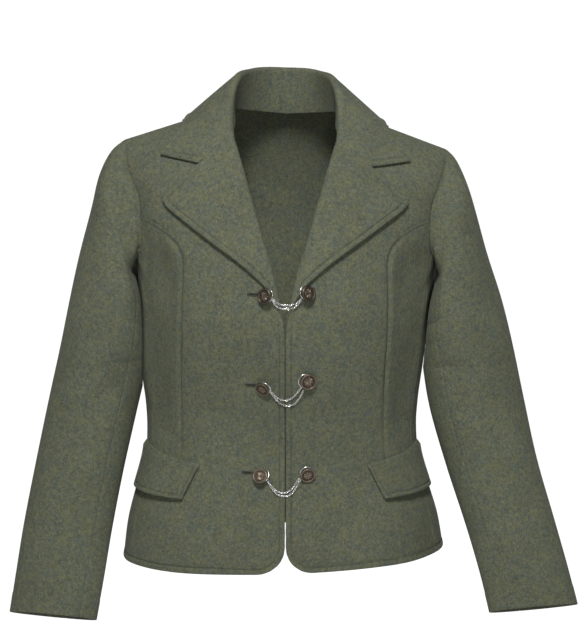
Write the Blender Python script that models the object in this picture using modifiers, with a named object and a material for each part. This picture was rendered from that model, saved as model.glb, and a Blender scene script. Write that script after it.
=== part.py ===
"""Tyrolean loden jacket: the cut cloth pieces, the coin buttons and their chains.

Millimetres in the tables and functions, metres in the meshes. +Z is up, the front faces -Y and
+X is the wearer's left. The origin is between the shoulders, level with the neck points.
"""

import math

import bmesh
import bpy
import numpy as np
from mathutils import Matrix, Vector

for old in list(bpy.data.objects):
    bpy.data.objects.remove(old, do_unlink=True)
jacket = bpy.data.collections.new("Tyrolean loden jacket")
bpy.context.scene.collection.children.link(jacket)

# Driving sizes, in millimetres
clothWall = 2.2          # loden of the body and sleeves
foldedWall = 3.2         # collar, lapels and flaps: two layers, pressed
seamGap = 0.4            # between two pieces that are sewn together
layGap = 0.45            # between a piece and the one it lies on
neckHalf = 68.0          # neck point, from the centre
shoulderHalf = 204.0     # shoulder point, from the centre
shoulderFall = 0.345     # drop of the shoulder seam for each millimetre outwards
ridgeLevel = 14.0        # level of the shoulder seams
nearRidge = 13.8         # level of the row of points next to the shoulder seam
ridgeRound = 6.0         # least depth of a section when pieces are lifted clear
hemLevel = -561.0
hemTilt = 0.035          # the hem lies a little higher on the wearer's left,
shoulderTilt = -0.03     # and the shoulders a little lower
tiltStart = -430.0       # the hem's tilt begins at this level
backNeckHeight = 8.0     # neck seam at the centre back
neckTrim = 0.7           # the back's neck line stops short of the centre back seam
shoulderTrim = 0.3       # and of the armhole at the shoulder
armholeGap = 1.4         # from the sleeve to the middle of the armhole seam
neckInset = 0.8          # from the fold to the front's edge
underarmEase = 5.8       # the sleeve passes this far outside the body under the arm
frontEdge = 1.2          # front edge, from the centre line
cornerRadius = 34.0      # rounded front corner of the hem
breakHeight = -264.0     # the roll line leaves the front edge here
lapelFoot = -224.0       # the lapel is first wide enough to be its own piece here
sideAngle = 70.0         # side seam, in degrees round from the centre front
sleeveClearance = 2.6    # between the sleeve and the side of the body
sleeveSlit = 0.85        # half the opening between the two sleeve pieces, in degrees of turn
rollRadius = 4.75        # outside radius of the lapel's and the collar's fold
facingTail = 9.0         # how far the folded edge goes on inside
gorgeLift = 1.2          # the collar's fold ends this far above the lapel's fold
# The collar's leaf is drawn through these shares of its width, from the fold to its edge
leafShares = (0.12, 0.28, 0.46, 0.62, 0.80, 0.92, 1.0)
collarHold = 6           # rows over which the collar's ends are drawn to the gorge
collarBulge = 0.5        # rise of the leaf between its fold and its edge
collarEase = 1.5         # more room under the leaf than under the lapel
flapFlare = 4.5          # the flap's lower far corner stands off this much
buttonRadius = 9.5
buttonWall = 2.2
buttonRelief = 0.6       # height of the rim and the boss
shankRadius = 2.4
chainRadius = 1.1

# Level sections of the body. fall is the share of the shoulder slope there.
bodyColumns = ("level", "halfWidth", "lean", "frontDepth", "backDepth", "squareness", "fall")
bodySections = [
    (-561.0, 208.5, -3.0, 132.0, 137.0, 2.20, 0.00),   # hem
    (-517.0, 202.0, -3.5, 128.0, 134.0, 2.20, 0.00),   # high hip
    (-477.0, 191.0, -4.0, 121.0, 126.0, 2.20, 0.00),
    (-430.0, 177.5, -4.5, 114.0, 114.0, 2.20, 0.00),
    (-397.0, 174.5, -5.0, 113.0, 109.0, 2.20, 0.00),   # waist
    (-364.0, 176.0, -5.0, 117.0, 109.0, 2.20, 0.00),
    (-331.0, 180.0, -5.0, 125.0, 112.0, 2.20, 0.00),
    (-285.0, 185.0, -3.0, 135.0, 118.0, 2.20, 0.00),   # under the bust
    (-234.0, 189.0, -1.0, 141.0, 123.0, 2.20, 0.00),   # bust
    (-180.0, 193.0, 0.0, 138.0, 126.0, 2.20, 0.05),    # armpit
    (-130.0, 200.0, 0.0, 129.0, 124.0, 2.20, 0.22),
    (-90.0, 208.0, 0.0, 116.0, 117.0, 2.20, 0.45),
    (-55.0, 213.0, 0.0, 98.0, 104.0, 2.20, 0.70),      # chest
    (-26.0, 216.0, 0.0, 76.0, 84.0, 2.20, 0.90),
    (-5.0, 217.0, 0.0, 51.0, 58.0, 2.20, 0.98),
    (8.0, 218.0, 0.0, 29.0, 33.0, 2.20, 1.00),
    (12.6, 218.0, 0.0, 13.0, 15.0, 2.20, 1.00),
    (13.8, 218.0, 0.0, 5.0, 5.5, 2.20, 1.00),
    (14.0, 218.0, 0.0, 0.45, 0.45, 2.20, 1.00),        # shoulder seam
]

# Largest folds of the body: side is that of the wearer, 1 left and -1 right, angle and level
# are the middle, slant is how far the fold leans away from upright, in degrees towards the
# back at its top, and a positive depth is a ridge.
foldColumns = ("side", "angle", "level", "slant", "halfLength", "halfWidth", "depth")
bodyFolds = [
    (-1, 52.0, -188.0, 8.0, 62.0, 19.0, -4.2),     # beside the princess seam
    (1, 50.0, -196.0, 4.0, 54.0, 18.0, -3.6),
    (-1, 66.0, -84.0, -24.0, 34.0, 20.0, -3.0),    # under the shoulder
    (1, 68.0, -96.0, -18.0, 28.0, 19.0, -2.4),
    (-1, 79.0, -236.0, 14.0, 46.0, 17.0, -3.4),    # down from the armpit
    (1, 80.0, -244.0, 18.0, 52.0, 18.0, -3.8),
    (1, 44.0, -548.0, 4.0, 40.0, 24.0, 3.0),       # hem wave
    (-1, 36.0, -556.0, -6.0, 34.0, 26.0, 1.8),
    (-1, 122.0, -142.0, -16.0, 66.0, 20.0, -4.6),  # beside the back of the arm
    (1, 124.0, -154.0, -12.0, 58.0, 21.0, -4.0),
    (-1, 106.0, -262.0, -30.0, 44.0, 18.0, -2.8),
    (1, 103.0, -276.0, -24.0, 38.0, 18.0, -2.4),
    (-1, 148.0, -386.0, 74.0, 40.0, 17.0, -3.2),   # across the small of the back
    (1, 152.0, -402.0, 70.0, 46.0, 18.0, -3.6),
    (1, 138.0, -530.0, 5.0, 46.0, 26.0, 3.4),      # back of the hem
    (-1, 156.0, -538.0, -4.0, 38.0, 24.0, 2.6),
]
foldRadius = 130.0       # turns degrees round the body into lengths for these folds

# Lines on the body in front view. Each row is a height and a distance from the centre line.
lineColumns = ("height", "across")
rollLine = [
    (-264.0, 1.2),
    (-232.0, 3.8),
    (-212.0, 7.5),
    (-177.0, 15.8),
    (-151.0, 24.0),
    (-106.0, 37.0),
    (-61.0, 50.5),
    (-36.0, 58.5),
    (-22.9, 63.0),   # gorge
    (-9.0, 65.8),
    (4.0, 67.2),
    (14.0, 68.0),    # neck point
]
gorgeRow = 8
princessLine = [
    (-561.0, 145.0),
    (-495.0, 138.0),
    (-430.0, 131.0),
    (-397.0, 129.0),
    (-340.0, 129.0),
    (-294.0, 130.0),
    (-228.0, 131.0),
    (-195.0, 129.5),
    (-170.0, 129.0),
    (-152.0, 136.0),
    (-140.0, 152.0),
    (-132.0, 168.0),
    (-128.0, 182.5),
]
armholeLine = [
    (-31.0, 204.0),
    (-39.0, 203.0),
    (-52.0, 201.0),
    (-67.0, 196.5),
    (-88.0, 189.5),
    (-108.0, 184.5),
    (-128.0, 182.5),
    (-150.0, 182.0),
    (-166.0, 184.0),
    (-175.0, 187.5),
    (-179.0, 191.0),
    (-180.0, 193.2),
]
lapelEdge = [
    (-224.0, 8.5),
    (-211.0, 16.0),
    (-193.0, 31.0),
    (-170.5, 57.0),
    (-147.0, 90.0),
    (-121.5, 126.0),
    (-109.0, 144.0),
    (-103.0, 150.0),
    (-98.0, 151.0),
]
lapelTop = [
    (-22.9, 63.0),   # gorge
    (-55.6, 105.4),  # notch
    (-92.0, 146.5),
    (-98.0, 151.0),  # tip
]
collarEnd = [
    (-22.9, 63.0),   # gorge
    (-55.6, 105.4),  # notch
    (-49.0, 155.5),  # tip
]

# Sleeve sections from the armhole to the cuff. Outer and inner are the two sides of the sleeve
# in front view, and raise lifts the front of the ring. The shifts carry that side of both
# sleeves to the wearer's left, and drop lowers the left sleeve and lifts the right one.
sleeveColumns = (
    "outerX", "outerZ", "innerX", "innerZ", "centreY", "halfDepth",
    "raise", "outerShift", "innerShift", "drop",
)
sleeveSections = [
    (204.0, -29.5, 193.5, -180.0, -2.0, 58.0, 0.0, 0.0, 0.0, 6.0),     # armhole
    (211.0, -46.0, 196.0, -192.0, -5.0, 62.0, 0.0, -5.0, 0.0, 5.0),
    (223.0, -76.0, 190.0, -207.0, -10.0, 64.0, 0.0, -6.0, 0.0, 5.0),
    (241.5, -115.0, 182.0, -229.0, -14.0, 62.0, 0.0, -4.0, 0.0, 4.0),
    (258.0, -171.0, 177.0, -257.0, -16.0, 59.0, 1.0, -3.0, 0.0, 3.0),
    (273.5, -229.0, 175.0, -292.0, -17.0, 56.0, 2.0, -1.0, 0.0, 2.0),
    (288.5, -289.0, 179.0, -326.0, -17.0, 52.0, 3.0, 0.0, -1.0, 1.0),
    (305.5, -362.0, 189.0, -376.0, -18.0, 47.0, 5.0, 0.5, -3.0, 0.0),     # elbow
    (323.0, -438.0, 208.0, -447.0, -24.0, 41.0, 6.0, 1.0, -2.0, -1.0),
    (342.0, -515.0, 227.0, -523.0, -34.0, 34.0, 8.0, 4.5, 2.5, -2.0),
    (355.5, -576.0, 241.5, -586.0, -44.0, 28.0, 9.0, 8.0, 7.0, -4.0),
    (366.0, -627.0, 252.0, -638.0, -54.0, 24.0, 9.0, 10.5, 10.5, -5.0),  # cuff
]
# Largest folds of the sleeves. turn is in degrees round the sleeve and along is a share of its
# length from the armhole.
sleeveFoldColumns = ("side", "turn", "along", "slant", "halfLength", "halfWidth", "depth")
sleeveFolds = [
    (-1, 42.0, 0.16, 6.0, 58.0, 13.0, 3.0),        # ridge down from the sleeve head
    (1, 36.0, 0.17, 4.0, 50.0, 13.0, 2.6),
    (-1, 84.0, 0.20, 10.0, 66.0, 15.0, -3.6),      # front of the upper arm
    (1, 90.0, 0.22, 12.0, 60.0, 15.0, -3.4),
    (-1, -62.0, 0.24, -10.0, 70.0, 17.0, -3.8),    # back of the upper arm
    (1, -56.0, 0.21, -12.0, 62.0, 17.0, -3.4),
    (-1, 102.0, 0.62, 30.0, 44.0, 15.0, -2.8),     # inside of the elbow
    (1, 96.0, 0.60, 34.0, 46.0, 15.0, -3.0),
    (-1, -70.0, 0.66, -28.0, 40.0, 15.0, -2.4),    # point of the elbow
    (1, -66.0, 0.64, -32.0, 42.0, 15.0, -2.4),
]
sleeveLength = 610.0
sleeveRadius = 52.0      # turns degrees round the sleeve into lengths for these folds
sleeveFrontSeam = 130.0   # degrees round the sleeve from its outer side, through the front
sleeveHindSeam = -105.0

# Stations of the collar from the gorge to the centre back, on one side. neck is the seam under
# the stand, fold the top of the roll and edge the outer edge of the leaf.
collarColumns = ("neckX", "neckY", "neckZ", "foldX", "foldY", "foldZ", "edgeX", "edgeY", "edgeZ")
collarStations = [
    (68.4, -60.0, -24.5, 63.0, -72.0, -22.4, 155.5, -60.0, -49.0),   # gorge
    (61.4, -44.0, -10.0, 67.5, -50.0, 4.0, 142.0, -50.0, -36.0),
    (63.2, -26.0, 1.0, 66.0, -28.0, 33.0, 130.0, -34.0, -18.0),
    (63.2, 0.0, 8.5, 57.5, 0.0, 54.5, 126.0, 2.0, -1.5),             # neck point
    (46.0, 33.0, 7.0, 43.5, 32.0, 60.0, 106.0, 54.0, -4.0),
    (24.5, 51.5, 5.0, 25.0, 51.0, 63.0, 60.0, 86.0, -13.0),
    (0.0, 62.0, 3.0, 0.0, 61.0, 63.0, 0.0, 97.0, -16.0),             # centre back
]

# Pocket flap: height and distance from the centre line of its front edge, and its far end.
flapTopHeight = -428.0
flapTopAcross = 104.0
flapBottomHeight = -474.0
flapBottomAcross = 126.0
flapEndAngle = 83.0
flapEndTop = -411.0
flapEndBottom = -473.0

# Chain clasps. right and left are the places of the two coin buttons, lift is how far a coin's
# back stands off the front, and sag is the depth of the inner and the outer strand.
claspColumns = ("name", "rightX", "rightZ", "leftX", "leftZ", "lift", "innerSag", "outerSag")
clasps = [
    ("upper", -25.0, -210.0, 28.0, -207.0, 7.0, 14.0, 18.0),
    ("middle", -27.5, -326.0, 28.8, -316.0, 4.6, 22.0, 29.0),
    ("lower", -30.5, -439.5, 28.2, -438.5, 4.6, 22.0, 27.0),
]

# Colour, roughness and metallic value of each finish
finishes = {
    "loden": ((0.062, 0.078, 0.052), 0.95, 0.0),
    "lodenFolded": ((0.070, 0.087, 0.056), 0.95, 0.0),
    "antiqueMetal": ((0.20, 0.19, 0.17), 0.42, 1.0),
    "silverMetal": ((0.62, 0.62, 0.61), 0.30, 1.0),
}


def smoothTable(rows, count):
    """Smooth curve (Catmull-Rom) through the rows of a table, read at evenly spread points."""
    table = np.array(rows, dtype=float)
    last = len(table) - 1
    place = np.linspace(0.0, last, count)
    start = np.minimum(place.astype(int), last - 1)
    t = (place - start)[:, None]
    before = table[np.maximum(start - 1, 0)]
    here = table[start]
    there = table[start + 1]
    after = table[np.minimum(start + 2, last)]
    straight = 2.0 * here + (there - before) * t
    bend = (2.0 * before - 5.0 * here + 4.0 * there - after) * t ** 2
    turn = (3.0 * here - before - 3.0 * there + after) * t ** 3
    return 0.5 * (straight + bend + turn)


bodyCurve = smoothTable(bodySections, 900)


def bodySize(name, level):
    """Value of one column of the body's sections at a level."""
    column = bodyColumns.index(name)
    return np.interp(level, bodyCurve[:, 0], bodyCurve[:, column])


def levelOf(across, height):
    """Level of the section through a place: sections tilt with the shoulders near the top."""
    level = np.array(height, dtype=float)
    for _ in range(12):
        level = height + bodySize("fall", level) * shoulderFall * (across - neckHalf)
    return level


def tiltAt(level):
    """Rise of a section for each millimetre towards the wearer's left."""
    low = np.clip((tiltStart - level) / (tiltStart - hemLevel), 0.0, 1.0)
    return hemTilt * low ** 2 + shoulderTilt * bodySize("fall", level)


def foldHeight(fold, along, up):
    """Height of one soft fold, a bell along its length and across its width."""
    slant = math.radians(fold["slant"])
    across = along * math.cos(slant) - up * math.sin(slant)
    length = along * math.sin(slant) + up * math.cos(slant)
    fade = (across / fold["halfWidth"]) ** 2 + (length / fold["halfLength"]) ** 2
    return fold["depth"] * np.exp(-fade)


def bodyRelief(angle, level, side):
    """Height of all the body's folds on one side."""
    height = np.zeros(np.broadcast(angle, level).shape)
    for row in bodyFolds:
        fold = dict(zip(foldColumns, row))
        if fold["side"] == side:
            along = np.radians(angle - fold["angle"]) * foldRadius
            height = height + foldHeight(fold, along, level - fold["level"])
    return height


def bodyPoint(angle, level, side):
    """Point of the body's outer surface: x = W sin^(2/n), y = -D cos^(2/n) round each section."""
    power = 2.0 / bodySize("squareness", level)
    turn = np.radians(angle)
    across = bodySize("halfWidth", level) * np.abs(np.sin(turn)) ** power
    front = np.cos(turn) > 0.0
    depth = np.where(front, -bodySize("frontDepth", level), bodySize("backDepth", level))
    y = depth * np.abs(np.cos(turn)) ** power
    swell = 1.0 + bodyRelief(angle, level, side) / np.maximum(np.hypot(across, y), 1.0)
    y = y * swell
    across = across * swell
    x = across * (side + bodySize("lean", level) / bodySize("halfWidth", level))
    z = level - bodySize("fall", level) * shoulderFall * (across - neckHalf)
    return np.stack([x, y, z + x * tiltAt(level)], axis=-1)


def bodyPlace(across, height, back=False):
    """Angle and level of a place given in front view by its distance from the centre line."""
    level = levelOf(across, height)
    share = np.clip(across / bodySize("halfWidth", level), 0.0, 1.0)
    angle = np.degrees(np.arcsin(share ** (bodySize("squareness", level) / 2.0)))
    return np.stack([180.0 - angle if back else angle, level], axis=-1)


def roundness(points):
    """Size of the section through each point, as a share of the body's own section there."""
    height = points[:, 2]
    level = height.copy()
    for _ in range(12):
        lean = np.sign(points[:, 0]) * bodySize("lean", level) / bodySize("halfWidth", level)
        across = np.abs(points[:, 0]) / (1.0 + lean)
        level = height + bodySize("fall", level) * shoulderFall * (across - neckHalf)
        level = level - points[:, 0] * tiltAt(level)
    power = bodySize("squareness", level)
    front = points[:, 1] < 0.0
    depth = np.where(front, bodySize("frontDepth", level), bodySize("backDepth", level))
    depth = np.maximum(depth, ridgeRound)
    over = np.maximum(level - bodyCurve[-1, 0], 0.0)
    width = np.abs(across / bodySize("halfWidth", level)) ** power
    return (width + np.abs(points[:, 1] / depth) ** power) ** (1.0 / power) + over


def aboveBody(points):
    """Distance of each point from the body's outer surface, and the way out."""
    step = 0.05
    value = roundness(points)
    slopes = []
    for axis in np.eye(3):
        change = roundness(points + step * axis) - roundness(points - step * axis)
        slopes.append(change / (2.0 * step))
    slope = np.stack(slopes, axis=-1)
    steepness = np.maximum(np.linalg.norm(slope, axis=1), 1e-6)
    return (value - 1.0) / steepness, slope / steepness[:, None]


def bodyLayer(angle, level, side, height):
    """Point at a height above the body's outer surface, along its normal."""
    angle = np.asarray(angle, dtype=float)
    level = np.asarray(level, dtype=float)
    round1 = bodyPoint(np.minimum(angle + 0.6, 180.0), level, side)
    round2 = bodyPoint(np.maximum(angle - 0.6, 0.0), level, side)
    up1 = bodyPoint(angle, np.minimum(level + 1.0, ridgeLevel), side)
    up2 = bodyPoint(angle, level - 1.0, side)
    normal = np.cross(round1 - round2, up1 - up2) * side
    normal /= np.linalg.norm(normal, axis=-1, keepdims=True)
    return bodyPoint(angle, level, side) + np.asarray(height)[..., None] * normal


def liftClear(points, clearance):
    """Points moved out of the body until they are clear of it."""
    moved = points.copy()
    for _ in range(5):
        distance, wayOut = aboveBody(moved)
        moved += np.maximum(clearance - distance, 0.0)[:, None] * wayOut
    return moved


def placesOnLine(line, back=False):
    """Angles and levels along a line that is given in front view."""
    dense = smoothTable(line, 25 * len(line))
    across = dense[:, lineColumns.index("across")]
    height = dense[:, lineColumns.index("height")]
    return bodyPlace(across, height, back)


def spread(places, count):
    """The same line of places, at evenly spaced points along its real length."""
    points = bodyPoint(places[:, 0], places[:, 1], 1.0)
    steps = np.linalg.norm(np.diff(points, axis=0), axis=1)
    length = np.concatenate([[0.0], np.cumsum(steps)])
    at = np.linspace(0.0, length[-1], count)
    return np.stack([np.interp(at, length, places[:, k]) for k in range(2)], axis=-1)


def joined(*lines):
    """Lines of places end to end, without repeating the shared point."""
    return np.concatenate([lines[0]] + [line[1:] for line in lines[1:]])


def finishObject(name, mesh, finish, wall=0.0):
    """The named object of a sub-part, in the jacket's collection and its own material."""
    part = bpy.data.objects.new(name, mesh)
    jacket.objects.link(part)
    colour, rough, metal = finishes[finish]
    material = bpy.data.materials.new(name)
    material.use_nodes = True
    shader = material.node_tree.nodes["Principled BSDF"]
    shader.inputs["Base Color"].default_value = (*colour, 1.0)
    shader.inputs["Roughness"].default_value = rough
    shader.inputs["Metallic"].default_value = metal
    part.data.materials.append(material)
    if wall > 0.0:
        thicken = part.modifiers.new("Wall", "SOLIDIFY")
        thicken.thickness = wall * 0.001
        thicken.offset = -1.0
    return part


def meshFromGrid(name, points, finish, wall, flip):
    """A shell: its outer surface as a grid of points, thickened inwards by Solidify."""
    rows, columns = points.shape[:2]
    build = bmesh.new()
    corners = [build.verts.new(point) for point in points.reshape(-1, 3) * 0.001]
    for row in range(rows - 1):
        for column in range(columns - 1):
            first = row * columns + column
            ring = [first, first + 1, first + columns + 1, first + columns]
            if flip:
                ring.reverse()
            build.faces.new([corners[k] for k in ring])
    mesh = bpy.data.meshes.new(name)
    build.to_mesh(mesh)
    build.free()
    mesh.shade_smooth()
    return finishObject(name, mesh, finish, wall)


def edgeShares(count):
    """Shares from 0 to 1, evenly spread but for one close to each end."""
    return np.concatenate([[0.0], np.linspace(0.04, 0.96, count - 2), [1.0]])


def panelPlaces(inner, outer, columns, topLine=None, trim=seamGap / 2.0):
    """Places of a body panel: straight between its two edges, then drawn to its top line."""
    start = bodyPoint(inner[:, 0], inner[:, 1], 1.0)
    end = bodyPoint(outer[:, 0], outer[:, 1], 1.0)
    width = np.maximum(np.linalg.norm(end - start, axis=1), 3.0 * trim)
    share = edgeShares(columns)
    across = (trim + share[None, :] * (width[:, None] - 2.0 * trim)) / width[:, None]
    across = across[:, :, None]
    places = inner[:, None, :] * (1.0 - across) + outer[:, None, :] * across
    if topLine is not None:
        rise = np.linspace(0.0, 1.0, len(inner)) ** 4
        places = places + rise[:, None, None] * (topLine - places[-1])[None, :, :]
    return places


def roundedTop(places):
    """Panel places with a row close to the shoulder seam, where the cloth lies level."""
    share = (ridgeLevel - nearRidge) / np.maximum(ridgeLevel - places[-2, :, 1], 1.0)
    share = np.clip(share, 0.02, 0.5)[:, None]
    close = places[-1] * (1.0 - share) + places[-2] * share
    return np.concatenate([places[:-1], close[None], places[-1:]])


def sidewards(places, distance):
    """Places moved by a distance round the body, away from the centre front."""
    here = bodyPoint(places[:, 0], places[:, 1], 1.0)
    there = bodyPoint(places[:, 0] + 0.5, places[:, 1], 1.0)
    perDegree = np.linalg.norm(there - here, axis=1) / 0.5
    moved = places.copy()
    moved[:, 0] += distance / perDegree
    return moved


def ramp(value, start, end):
    """Soft step from 0 at start to 1 at end."""
    t = np.clip((value - start) / (end - start), 0.0, 1.0)
    return t * t * (3.0 - 2.0 * t)


# The lines that the pieces share
roll = placesOnLine(rollLine)
princess = spread(placesOnLine(princessLine), 22)
armholeFront = placesOnLine(armholeLine)
armholeFront[0, 1] = ridgeLevel
armholeBack = armholeFront[::-1] * np.array([-1.0, 1.0]) + np.array([180.0, 0.0])
meetSide = int(np.argmax(armholeFront[:, 0] >= sideAngle))
meetPrincess = int(np.argmin(np.abs(armholeFront[:, 1] - princess[-1, 1])))
armholeFront[meetPrincess] = princess[-1]
sideTop = armholeFront[meetSide, 1]
sideSeam = np.stack([np.full(40, sideAngle), np.linspace(hemLevel, sideTop, 40)], axis=-1)


def frontEdgePlaces():
    """Front edge from the hem's rounded corner up to the break, then the roll line to the neck."""
    turn = np.radians(np.linspace(0.0, 90.0, 7))
    cornerAcross = frontEdge + cornerRadius * (1.0 - np.sin(turn))
    cornerHeight = hemLevel + cornerRadius * (1.0 - np.cos(turn))
    corner = bodyPlace(cornerAcross, cornerHeight)
    height = np.linspace(hemLevel + cornerRadius, breakHeight, 9)
    edge = bodyPlace(np.full(9, frontEdge), height)
    rolled = spread(roll, 18)
    inset = ramp(rolled[:, 1], breakHeight, lapelFoot) * (rollRadius + neckInset)
    atNeck = ramp(rolled[:, 1], -20.0, 8.0)
    inset = inset * (1.0 - atNeck) + neckInset * atNeck
    return joined(corner, edge, sidewards(rolled, inset))


def makeFront(side, name):
    """Front: centre panel from the front edge to the princess seam, up to the shoulder."""
    inner = frontEdgePlaces()
    armhole = armholeFront[:meetPrincess + 1][::-1]
    outer = joined(princess, spread(armhole, 11))
    places = roundedTop(panelPlaces(inner, outer, 9))
    points = bodyPoint(places[..., 0], places[..., 1], side)
    meshFromGrid(name, points, "loden", clothWall, side < 0)


def makeSideFront(side, name):
    """Side front: from the princess seam round to the side seam, ending at the armhole."""
    armhole = armholeFront[meetPrincess:meetSide + 1][::-1]
    outer = joined(spread(sideSeam, 17), spread(armhole, 6))
    places = panelPlaces(princess, outer, 6)
    wide = places[:-1]
    points = bodyPoint(wide[..., 0], wide[..., 1], side)
    tip = 0.25 * places[-2] + 0.75 * places[-1]
    points = np.concatenate([points, bodyPoint(tip[:, 0], tip[:, 1], side)[None]])
    meshFromGrid(name, points, "loden", clothWall, side < 0)


def makeBack(side, name):
    """Back: from the side seam to the centre back seam, up to the neck and the shoulder."""
    rows = 36
    neckLevel = bodyPlace(np.array([0.0]), np.array([backNeckHeight]), True)[0, 1]
    centre = np.stack([np.full(rows, 180.0), np.linspace(hemLevel, neckLevel, rows)], axis=-1)
    underarm = joined(armholeFront[meetSide:], armholeBack)
    outer = joined(spread(sideSeam, 17), spread(underarm, 20))
    neckShare = np.array([0.0, 0.06, 0.28, 0.52, 0.76, 1.0])
    neckAcross = neckHalf * np.sin(np.radians(90.0 * neckShare)) + neckTrim * (1.0 - neckShare)
    neckHeight = backNeckHeight + (ridgeLevel - backNeckHeight) * neckShare ** 2
    neck = bodyPlace(neckAcross, neckHeight, True)
    shoulderShare = np.array([0.0, 0.22, 0.47, 0.72, 0.95, 1.0])
    shoulderAcross = neckHalf + (shoulderHalf - shoulderTrim - neckHalf) * shoulderShare
    shoulderHeight = ridgeLevel - shoulderFall * (shoulderAcross - neckHalf)
    shoulder = bodyPlace(shoulderAcross, shoulderHeight, True)
    places = roundedTop(panelPlaces(centre, outer, 11, joined(neck, shoulder)))
    points = bodyPoint(places[..., 0], places[..., 1], side)
    meshFromGrid(name, points, "loden", clothWall, side > 0)


def sleeveRelief(turns, along, side):
    """Height of all the folds of one sleeve."""
    height = np.zeros(np.broadcast(turns, along).shape)
    for row in sleeveFolds:
        fold = dict(zip(sleeveFoldColumns, row))
        if fold["side"] == side:
            roundSleeve = np.radians(turns - fold["turn"]) * sleeveRadius
            height = height + foldHeight(fold, roundSleeve, (fold["along"] - along) * sleeveLength)
    return height


def sleevePoints(side, turns, rows):
    """Sleeve: rings P = C + H cos t - (0, D, 0) sin t, drawn to the armhole at the top."""
    table = smoothTable(sleeveSections, rows)
    value = {name: table[:, [k]] for k, name in enumerate(sleeveColumns)}
    turn = np.radians(turns)[None, :]
    halfX = (value["outerX"] - value["innerX"]) / 2.0
    halfZ = (value["outerZ"] - value["innerZ"]) / 2.0
    x = (value["outerX"] + value["innerX"]) / 2.0 + halfX * np.cos(turn)
    z = (value["outerZ"] + value["innerZ"]) / 2.0 + halfZ * np.cos(turn)
    y = value["centreY"] - value["halfDepth"] * np.sin(turn)
    z = z + value["raise"] * np.sin(turn)
    relief = sleeveRelief(turns[None, :], np.linspace(0.0, 1.0, rows)[:, None], side)
    relief = relief / np.maximum(np.hypot(halfX * np.cos(turn), value["halfDepth"] * np.sin(turn)), 1.0)
    x = x + relief * halfX * np.cos(turn)
    z = z + relief * halfZ * np.cos(turn)
    y = y - relief * value["halfDepth"] * np.sin(turn)
    outerShare = (1.0 + np.cos(turn)) / 2.0
    x = side * x + value["outerShift"] * outerShare + value["innerShift"] * (1.0 - outerShare)
    z = z - side * value["drop"]
    points = np.stack([x, y, z], axis=-1)
    loop = armholeRing(side, turns)
    share = np.linspace(0.0, 1.0, rows)
    hold = np.clip(1.0 - share / 0.2, 0.0, 1.0) ** 2
    points = points + hold[:, None, None] * (loop - points[0])[None]
    flat = liftClear(points[1:].reshape(-1, 3), sleeveClearance)
    points[1:] = flat.reshape(rows - 1, -1, 3)
    return points


def armholeRing(side, turns):
    """The armhole seam of the sleeve, just inside the armhole of the body."""
    half = spread(armholeFront, 200)
    wrapped = np.where(turns > 180.0, 360.0 - turns, np.abs(turns)) / 180.0
    onFront = (turns >= 0.0) & (turns <= 180.0)
    index = np.linspace(0.0, 1.0, 200)
    angle = np.interp(wrapped, index, half[:, 0])
    level = np.interp(wrapped, index, half[:, 1])
    angle = np.where(onFront, angle, 180.0 - angle)
    ring = bodyLayer(angle, level, side, 0.5 + underarmEase * wrapped ** 8)
    centre = ring.mean(axis=0)
    inwards = centre - ring
    inwards[:, 0] = 0.0
    inwards /= np.linalg.norm(inwards, axis=1, keepdims=True)
    return ring + armholeGap * inwards


def makeSleeve(side, topName, underName):
    """Two-piece sleeve: the top sleeve outside, the under sleeve next to the body."""
    for name, start, end, count in (
        (topName, sleeveHindSeam + sleeveSlit, sleeveFrontSeam - sleeveSlit, 20),
        (underName, sleeveFrontSeam + sleeveSlit, 360.0 + sleeveHindSeam - sleeveSlit, 11),
    ):
        turns = start + (end - start) * edgeShares(count)
        points = sleevePoints(side, turns, 14)
        meshFromGrid(name, points, "loden", clothWall, side < 0)


def foldPoints(rolled, side):
    """Fold round the front's edge: from inside the front, round the roll line, to its outside."""
    inner = sidewards(rolled, rollRadius)
    base = bodyPoint(rolled[:, 0], rolled[:, 1], side)
    beside = bodyPoint(inner[:, 0], inner[:, 1], side)
    sideways = (beside - base) / np.linalg.norm(beside - base, axis=1, keepdims=True)
    outwards = bodyLayer(rolled[:, 0], rolled[:, 1], side, np.ones(len(rolled))) - base
    middle = layGap + foldedWall - rollRadius
    rows = []
    for reach in (rollRadius + facingTail, rollRadius + facingTail / 2.0):
        rows.append(base + sideways * reach + outwards * (middle - rollRadius))
    for turn in np.radians(np.linspace(270.0, 100.0, 6)):
        reach = rollRadius * (1.0 + math.cos(turn))
        rows.append(base + sideways * reach + outwards * (middle + rollRadius * math.sin(turn)))
    return np.stack(rows, axis=1)


def makeLapel(side, name):
    """Lapel: from inside the front edge, round the roll line and out over the front."""
    start = int(np.argmin(np.abs(roll[:, 1] - bodyPlace(4.5, lapelFoot)[1])))
    gorgeHeight, gorgeAcross = rollLine[gorgeRow]
    gorge = int(np.argmin(np.abs(roll[:, 1] - bodyPlace(gorgeAcross, gorgeHeight)[1])))
    rolled = spread(roll[start:gorge + 1], 15)
    edge = spread(placesOnLine(lapelEdge), 15)
    inner = sidewards(rolled, rollRadius)
    top = spread(placesOnLine(lapelTop), 9)
    leafShare = np.linspace(0.0, 1.0, 9)[None, :, None]
    leaf = inner[:, None, :] * (1.0 - leafShare) + edge[:, None, :] * leafShare
    leaf = leaf + (np.linspace(0.0, 1.0, 15) ** 4)[:, None, None] * (top - leaf[-1])[None]
    leaf[-1, :, 1] -= seamGap
    layer = np.full(leaf.shape[:2], layGap + foldedWall)
    over = bodyLayer(leaf[..., 0], leaf[..., 1], side, layer)
    fold = foldPoints(rolled, side)
    fold[-1, :, 2] -= seamGap
    points = np.concatenate([fold, over], axis=1)
    meshFromGrid(name, points, "lodenFolded", foldedWall, side < 0)


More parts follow.
